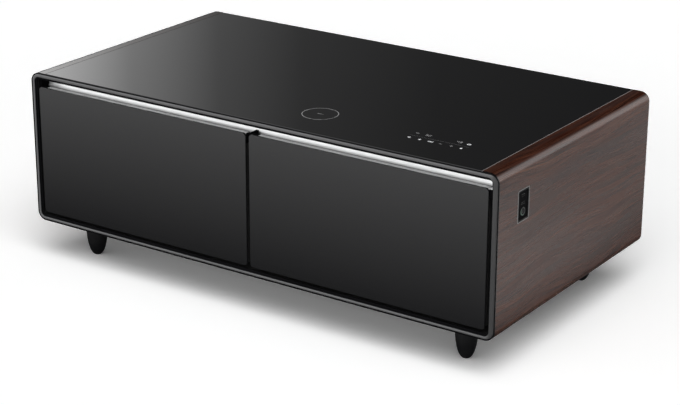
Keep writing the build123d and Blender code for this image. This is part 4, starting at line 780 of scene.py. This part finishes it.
def sweep_ring(name, section, material):
    """Sweeps a cross-section, a function of turn, round the frame's rounded rectangle."""
    half_w = (FRAME_HIGH.x - FRAME_LOW.x) / 2
    half_h = (FRAME_HIGH.z - FRAME_LOW.z) / 2
    mid_z = (FRAME_HIGH.z + FRAME_LOW.z) / 2
    shape = bmesh.new()
    rings = []
    for quarter, (sx, sz) in enumerate(((1, 1), (-1, 1), (-1, -1), (1, -1))):
        centre_x = sx * (half_w - FRAME_CORNER_R)
        centre_z = mid_z + sz * (half_h - FRAME_CORNER_R)
        for step in range(CORNER_STEPS + 1):
            turn = pi / 2 * (quarter + step / CORNER_STEPS)
            rings.append([
                shape.verts.new((centre_x + (FRAME_CORNER_R - inward) * cos(turn), FRAME_LOW.y + depth,
                                 centre_z + (FRAME_CORNER_R - inward) * sin(turn)))
                for inward, depth in section(turn)
            ])
    skin(shape, rings + rings[:1])
    bmesh.ops.recalc_face_normals(shape, faces=shape.faces)
    mesh = to_mesh(name, shape)
    piece = link_piece(name, mesh, bpy.data.materials[material], "cabinet")
    mesh.set_sharp_from_angle(angle=FRAME_SHARP)
    return piece


def make_frame():
    """The front frame: a raised bead in a black edge seal, and the black lip of the opening behind it; both
    dark pieces partly stand in for shade round the bead.
    """
    bead = sweep_ring("frame_bead", bead_outline, "frame_powder_coat")
    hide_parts("front_frame")
    sweep_ring("frame_seal", seal_outline, "socket_moulding")
    sweep_ring("opening_lip", lip_outline, "socket_moulding")


def make_strip():
    """The bright back of the pull recess: a leaning sheet whose two ends curve forward."""
    low, high = STRIP_LOW, STRIP_HIGH
    back = high.y
    section = [(back, high.z), (back - STRIP_T, high.z), (back - STRIP_T - STRIP_LEAN, low.z),
               (back, low.z), (back, low.z + STRIP_T),
               (back - STRIP_LEAN * (1 - STRIP_T / (high.z - low.z)), low.z + STRIP_T)]
    inset = [STRIP_FLARE_W * step / STRIP_FLARE_STEPS for step in range(STRIP_FLARE_STEPS + 1)]
    stations = [(low.x + gap, gap) for gap in inset] + [(high.x - gap, gap) for gap in reversed(inset)]
    shape = bmesh.new()
    rings = []
    for x, gap in stations:
        forward = STRIP_FLARE_SLOPE * (STRIP_FLARE_W - gap) ** 2 / (2 * STRIP_FLARE_W)
        rings.append([shape.verts.new((x, y if y == back else y - forward, z)) for y, z in section])
    skin(shape, rings)
    for ring in (rings[0], rings[-1]):
        shape.faces.new(ring)
    bmesh.ops.recalc_face_normals(shape, faces=shape.faces)
    mesh = to_mesh("recess_strip", shape)
    piece = link_piece("recess_strip", mesh, bpy.data.materials["strip_aluminium"], "cabinet")
    mesh.set_sharp_from_angle(angle=STRIP_SHARP)
    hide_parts("pull_strip")


def make_recess_ends():
    """Black blocks that close the pull recess at both ends and between the two drawers."""
    back = STRIP_LOW.y + STRIP_LEAN
    block("recess_end_right", (STRIP_HIGH.x - RECESS_END_W, RECESS_END_FRONT, CAP_TOP_Z + RECESS_END_GAP),
          (STRIP_HIGH.x, back, STRIP_HIGH.z), RECESS_EDGE)
    block("recess_end_left", (STRIP_LOW.x, RECESS_END_FRONT, RECESS_LOW_Z),
          (STRIP_LOW.x + RECESS_END_W, back, STRIP_HIGH.z), RECESS_EDGE)
    block("recess_post", (-RECESS_POST_HALF, RECESS_END_FRONT, RECESS_LOW_Z),
          (RECESS_POST_HALF, STRIP_HIGH.y - STRIP_T, CAP_TOP_Z), RECESS_EDGE)


def make_cap_ends():
    """Black end pieces on the pull caps, and the bright tip that carries the right cap on to the frame."""
    for side in ("left", "right"):
        low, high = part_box(side + "_pull_cap")
        right_end, right_top = high.x + CAP_END_T, high.z + CAP_END_T
        if side == "right":
            right_end, right_top = CAP_TIP_X - CAP_END_T, high.z - CAP_TIP_T
        for hand, start, end, top in (
                ("left", low.x - CAP_END_T, low.x + CAP_END_W, high.z + CAP_END_T),
                ("right", high.x - CAP_END_T, right_end, right_top)):
            block(f"{side}_cap_end_{hand}", (start, low.y + CAP_END_T, low.z - CAP_END_T),
                  (end, high.y + CAP_END_T, top), CAP_END_T / 2, body=side + "_drawer")
        if side == "right":
            block("right_cap_tip", (high.x - CAP_END_T, low.y, right_top), (CAP_TIP_X, high.y, high.z),
                  CAP_END_T / 2, "satin_aluminium", "right_drawer")


# Flat printed shapes, as outlines on a plane

def stroke(start, end, width=PRINT_LINE):
    (x0, y0), (x1, y1) = start, end
    length = sqrt((x1 - x0) ** 2 + (y1 - y0) ** 2)
    ax, ay = (y0 - y1) / length * width / 2, (x1 - x0) / length * width / 2
    return [(x0 - ax, y0 - ay), (x1 - ax, y1 - ay), (x1 + ax, y1 + ay), (x0 + ax, y0 + ay)]


def arc(centre, radius, start=0.0, end=2 * pi, width=PRINT_LINE, steps=48):
    pieces = []
    inner, outer = radius - width / 2, radius + width / 2
    for step in range(steps):
        first, last = (start + (end - start) * (step + k) / steps for k in (0, 1))
        pieces.append([polar(centre, inner, first), polar(centre, outer, first),
                       polar(centre, outer, last), polar(centre, inner, last)])
    return pieces


def disc(centre, radius):
    return [polar(centre, radius, 2 * pi * k / DISC_STEPS) for k in range(DISC_STEPS)]


def box_line(centre, width):
    """The outline of a square."""
    x, y = centre
    signs = ((-1, -1), (1, -1), (1, 1), (-1, 1))
    corners = [(x + sx * width / 2, y + sy * width / 2) for sx, sy in signs]
    return [stroke(a, b) for a, b in zip(corners, corners[1:] + corners[:1])]


def digit(centre, height, lit):
    """A seven-segment figure; lit names its segments, a to g."""
    x, y = centre
    w, h = height * 0.27, height * 0.5
    gap = height * 0.06
    ends = {
        "a": ((-w + gap, h), (w - gap, h)),
        "b": ((w, h - gap), (w, gap)),
        "c": ((w, -gap), (w, -h + gap)),
        "d": ((-w + gap, -h), (w - gap, -h)),
        "e": ((-w, -gap), (-w, -h + gap)),
        "f": ((-w, h - gap), (-w, gap)),
        "g": ((-w + gap, 0), (w - gap, 0)),
    }
    return [stroke((x + a[0], y + a[1]), (x + b[0], y + b[1]), height * 0.12)
            for a, b in (ends[name] for name in lit)]


def power_symbol(centre, radius, width):
    x, y = centre
    return arc(centre, radius, *POWER_GAP, width, POWER_STEPS) + [
        stroke((x, y + radius * 0.25), (x, y + radius * 1.25), width)]


def printed(name, outlines, material, surface, body="cabinet"):
    """Puts flat outlines on a surface, which turns a plane point into a place in space."""
    mesh = bpy.data.meshes.new(name)
    corners = []
    faces = []
    for outline in outlines:
        faces.append(tuple(range(len(corners), len(corners) + len(outline))))
        corners += [surface(u, v) for u, v in outline]
    mesh.from_pydata(corners, [], faces)
    link_piece(name, mesh, material, body, smooth=False)


def on_glass(u, v):
    return u, v, PRINT_Z


def lit_symbols():
    """A lamp, a snowflake, the two drawers, a lock and the power sign."""
    lamp, flake = (LAMP_X, FRONT_ROW_Y), (FLAKE_X, FRONT_ROW_Y)
    outlines = [disc(lamp, LAMP_R)]
    for turn in (2 * pi * k / LAMP_RAYS for k in range(LAMP_RAYS)):
        outlines.append(stroke(polar(lamp, RAY_START, turn), polar(lamp, RAY_END, turn)))
    for turn in (pi / 6 + pi * k / FLAKE_ARMS for k in range(FLAKE_ARMS)):
        outlines.append(stroke(polar(flake, -FLAKE_R, turn), polar(flake, FLAKE_R, turn)))
    for side in (-1, 1):
        outlines += box_line((DRAWER_SIGNS_X + side * DRAWER_SIGN_SHIFT, FRONT_ROW_Y), DRAWER_SIGN_W)
    outlines.append([(LOCK_X + sx * LOCK_HALF_W, FRONT_ROW_Y + rise)
                     for sx, rise in ((-1, -LOCK_DOWN), (1, -LOCK_DOWN), (1, LOCK_UP), (-1, LOCK_UP))])
    outlines += arc((LOCK_X, FRONT_ROW_Y + SHACKLE_UP), SHACKLE_R, 0, pi, steps=SHACKLE_STEPS)
    return outlines + power_symbol(POWER_POINT, POWER_R, POWER_LINE)


def dim_symbols():
    """Minus, plus, a dash and the two temperatures."""
    outlines = [stroke((x - SIGN_HALF, FRONT_ROW_Y), (x + SIGN_HALF, FRONT_ROW_Y))
                for x in (MINUS_X, PLUS_X)]
    outlines.append(stroke((PLUS_X, FRONT_ROW_Y - SIGN_HALF), (PLUS_X, FRONT_ROW_Y + SIGN_HALF)))
    outlines.append(stroke(*[(x, REAR_ROW_Y) for x in DASH], DASH_LINE))
    for x, figures in FIGURES:
        for side, lit in zip((-1, 1), figures):
            outlines += digit((x + side * DIGIT_SHIFT, REAR_ROW_Y), DIGIT_H, lit)
    return outlines


def make_prints():
    """The marks on the glass top: the charging ring with its bolt, and the touch symbols."""
    bright = print_ink("lit_symbol_ink", (0.80, 0.81, 0.83), 0.55)
    dim = print_ink("dim_symbol_ink", (0.72, 0.72, 0.725))
    fine = print_ink("fine_line_ink", (0.20, 0.20, 0.205))
    grey = print_ink("grey_line_ink", (0.56, 0.56, 0.565))
    centre = (COIL_X, COIL_Y)
    bolt = [[(COIL_X + BOLT_LONG * v * MM, COIL_Y + BOLT_WIDE * u * MM) for u, v in part]
            for part in BOLT_PARTS]
    printed("charging_ring", arc(centre, RING_R, steps=RING_STEPS), grey, on_glass)
    printed("charging_bolt", bolt, dim, on_glass)
    printed("touch_symbols_lit", lit_symbols(), bright, on_glass)
    printed("touch_symbols_dim", dim_symbols(), dim, on_glass)
    printed("touch_divider", [stroke(*[(x, DIVIDER_Y) for x in DIVIDER], DIVIDER_LINE)], fine, on_glass)


def make_button_symbol():
    """The power sign on the dished face of the button."""
    low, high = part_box("power_button")
    centre_y, centre_z = (low.y + high.y) / 2, (low.z + high.z) / 2

    def on_button(u, v):
        away = sqrt(u * u + v * v)
        rise = BUTTON_DISH_R - sqrt(BUTTON_DISH_R ** 2 - away ** 2)
        return high.x - BUTTON_DISH_DEPTH + rise + PRINT_GAP, centre_y + u, centre_z + v

    printed("button_symbol", power_symbol((0, 0), BUTTON_SIGN_R, BUTTON_SIGN_LINE),
            print_ink("button_ink", (0.03, 0.033, 0.033)), on_button, "button")


# The surroundings: a pale studio with a soft light overhead and a bright wall to the left

def light_world():
    """Light by direction: one set for what surfaces receive and one for what they mirror."""
    world = bpy.data.worlds.new("studio")
    bpy.context.scene.world = world
    world.use_nodes = True
    tree = Tree(world.node_tree)
    x, y, z = tree.parts(tree.add("ShaderNodeTexCoord").outputs["Generated"])
    level = tree.maths("SQRT", tree.maths("ADD", tree.product(x, x), tree.product(y, y)))
    left = tree.maths("DIVIDE", tree.product(x, -1.0), tree.maths("MAXIMUM", level, 0.001))
    wall_shades = ((0.0, 0.004), (0.30, 0.018), (0.45, 0.045), (0.54, 0.115), (0.63, 0.34), (0.72, 0.92),
                   (0.80, 1.0))
    wall = tree.ramp(tree.span(left, 0.40, 0.80, smooth=False),
                     [(at, (shade, shade, shade)) for at, shade in wall_shades])
    low_rear = tree.patch((y, 0.40, 0.62), (z, 0.22, 0.10))
    wall = tree.product(wall, tree.maths("SUBTRACT", 1.0, low_rear), tree.span(y, 0.15, 0.50, 0.12, 1.0))
    above = tree.span(z, 0.50, 0.85)
    ahead = tree.patch((y, 0.05, -0.55), (z, 0.85, 0.45), (x, 0.20, -0.30, 0.12, 1.0))
    right = tree.patch((x, 0.05, 0.40), (z, 0.75, 0.40), (y, -0.2, 0.3))
    overhead = tree.span(z, 0.80, 0.97)
    softbox = tree.patch((z, 0.50, 0.85), (y, 0.20, -0.30), (x, -0.30, 0.30))
    low_front = tree.patch((y, 0.05, -0.50), (z, 0.50, 0.20))

    def level_of(*lights):
        total = 0.02
        for light, strength in lights:
            total = tree.maths("MULTIPLY_ADD", light, strength, total)
        return total

    path = tree.add("ShaderNodeLightPath").outputs
    soft = level_of((right, 0.30), (overhead, 0.40), (softbox, 4.20), (low_front, 2.90))
    glossy = level_of((wall, 2.00), (above, 1.30), (ahead, 2.45), (right, 1.90))
    total = tree.add("ShaderNodeMix", {0: path["Is Glossy Ray"], 2: soft, 3: glossy}).outputs[0]
    lit = tree.add("ShaderNodeBackground", {"Color": tree.joined(total, total, total)}).outputs[0]
    plain = tree.add("ShaderNodeBackground", {"Color": (1, 1, 1, 1)}).outputs[0]
    both = tree.add("ShaderNodeMixShader", {0: path["Is Camera Ray"], 1: lit, 2: plain}).outputs[0]
    tree.add("ShaderNodeOutputWorld", {"Surface": both})


def lay_floor():
    """A white floor that takes the table's shadow and shades off where surfaces mirror it."""
    mesh = bpy.data.meshes.new("floor")
    corners = [(sx * FLOOR_HALF, sy * FLOOR_HALF, 0) for sx, sy in ((-1, -1), (1, -1), (1, 1), (-1, 1))]
    mesh.from_pydata(corners, [], [(0, 1, 2, 3)])
    floor = bpy.data.objects.new("floor", mesh)
    bpy.context.scene.collection.objects.link(floor)
    material, tree = new_material("floor")
    mesh.materials.append(material)
    x, y, _ = tree.parts(tree.place())
    plain = tree.add("ShaderNodeBsdfDiffuse", {"Color": (0.8, 0.8, 0.8, 1)}).outputs[0]
    bright = tree.add("ShaderNodeBsdfDiffuse", {"Color": (1.28, 1.28, 1.28, 1)}).outputs[0]
    front = tree.product(tree.span(y, *FRONT_SHADE_Y, smooth=False), tree.span(y, *FRONT_SHADE_END_Y))
    level = tree.blend(front, FLOOR_LEVEL, FRONT_SHADE)
    level = tree.product(level, tree.span(y, *REAR_SHADE_Y, 1.0, REAR_SHADE))
    for shade, along_x, along_y in (SIDE_SHADE, NEAR_SHADE, FAR_SHADE):
        level = tree.scaled(level, tree.patch((x, *along_x), (y, *along_y)), shade)
    glow = tree.add("ShaderNodeBsdfDiffuse", {"Color": tree.joined(level, level, level)}).outputs[0]
    path = tree.add("ShaderNodeLightPath").outputs
    mirrored = tree.maths("MAXIMUM", path["Is Glossy Ray"], path["Is Transmission Ray"])
    seen = tree.add("ShaderNodeMixShader", {0: path["Is Camera Ray"], 1: plain, 2: bright}).outputs[0]
    tree.finish(tree.add("ShaderNodeMixShader", {0: mirrored, 1: seen, 2: glow}).outputs[0])


place_camera()
dress_nodes()
make_feet()
make_frame()
make_strip()
make_recess_ends()
make_cap_ends()
make_prints()
make_button_symbol()
bpy.context.scene.view_settings.view_transform = "Standard"
light_world()
lay_floor()
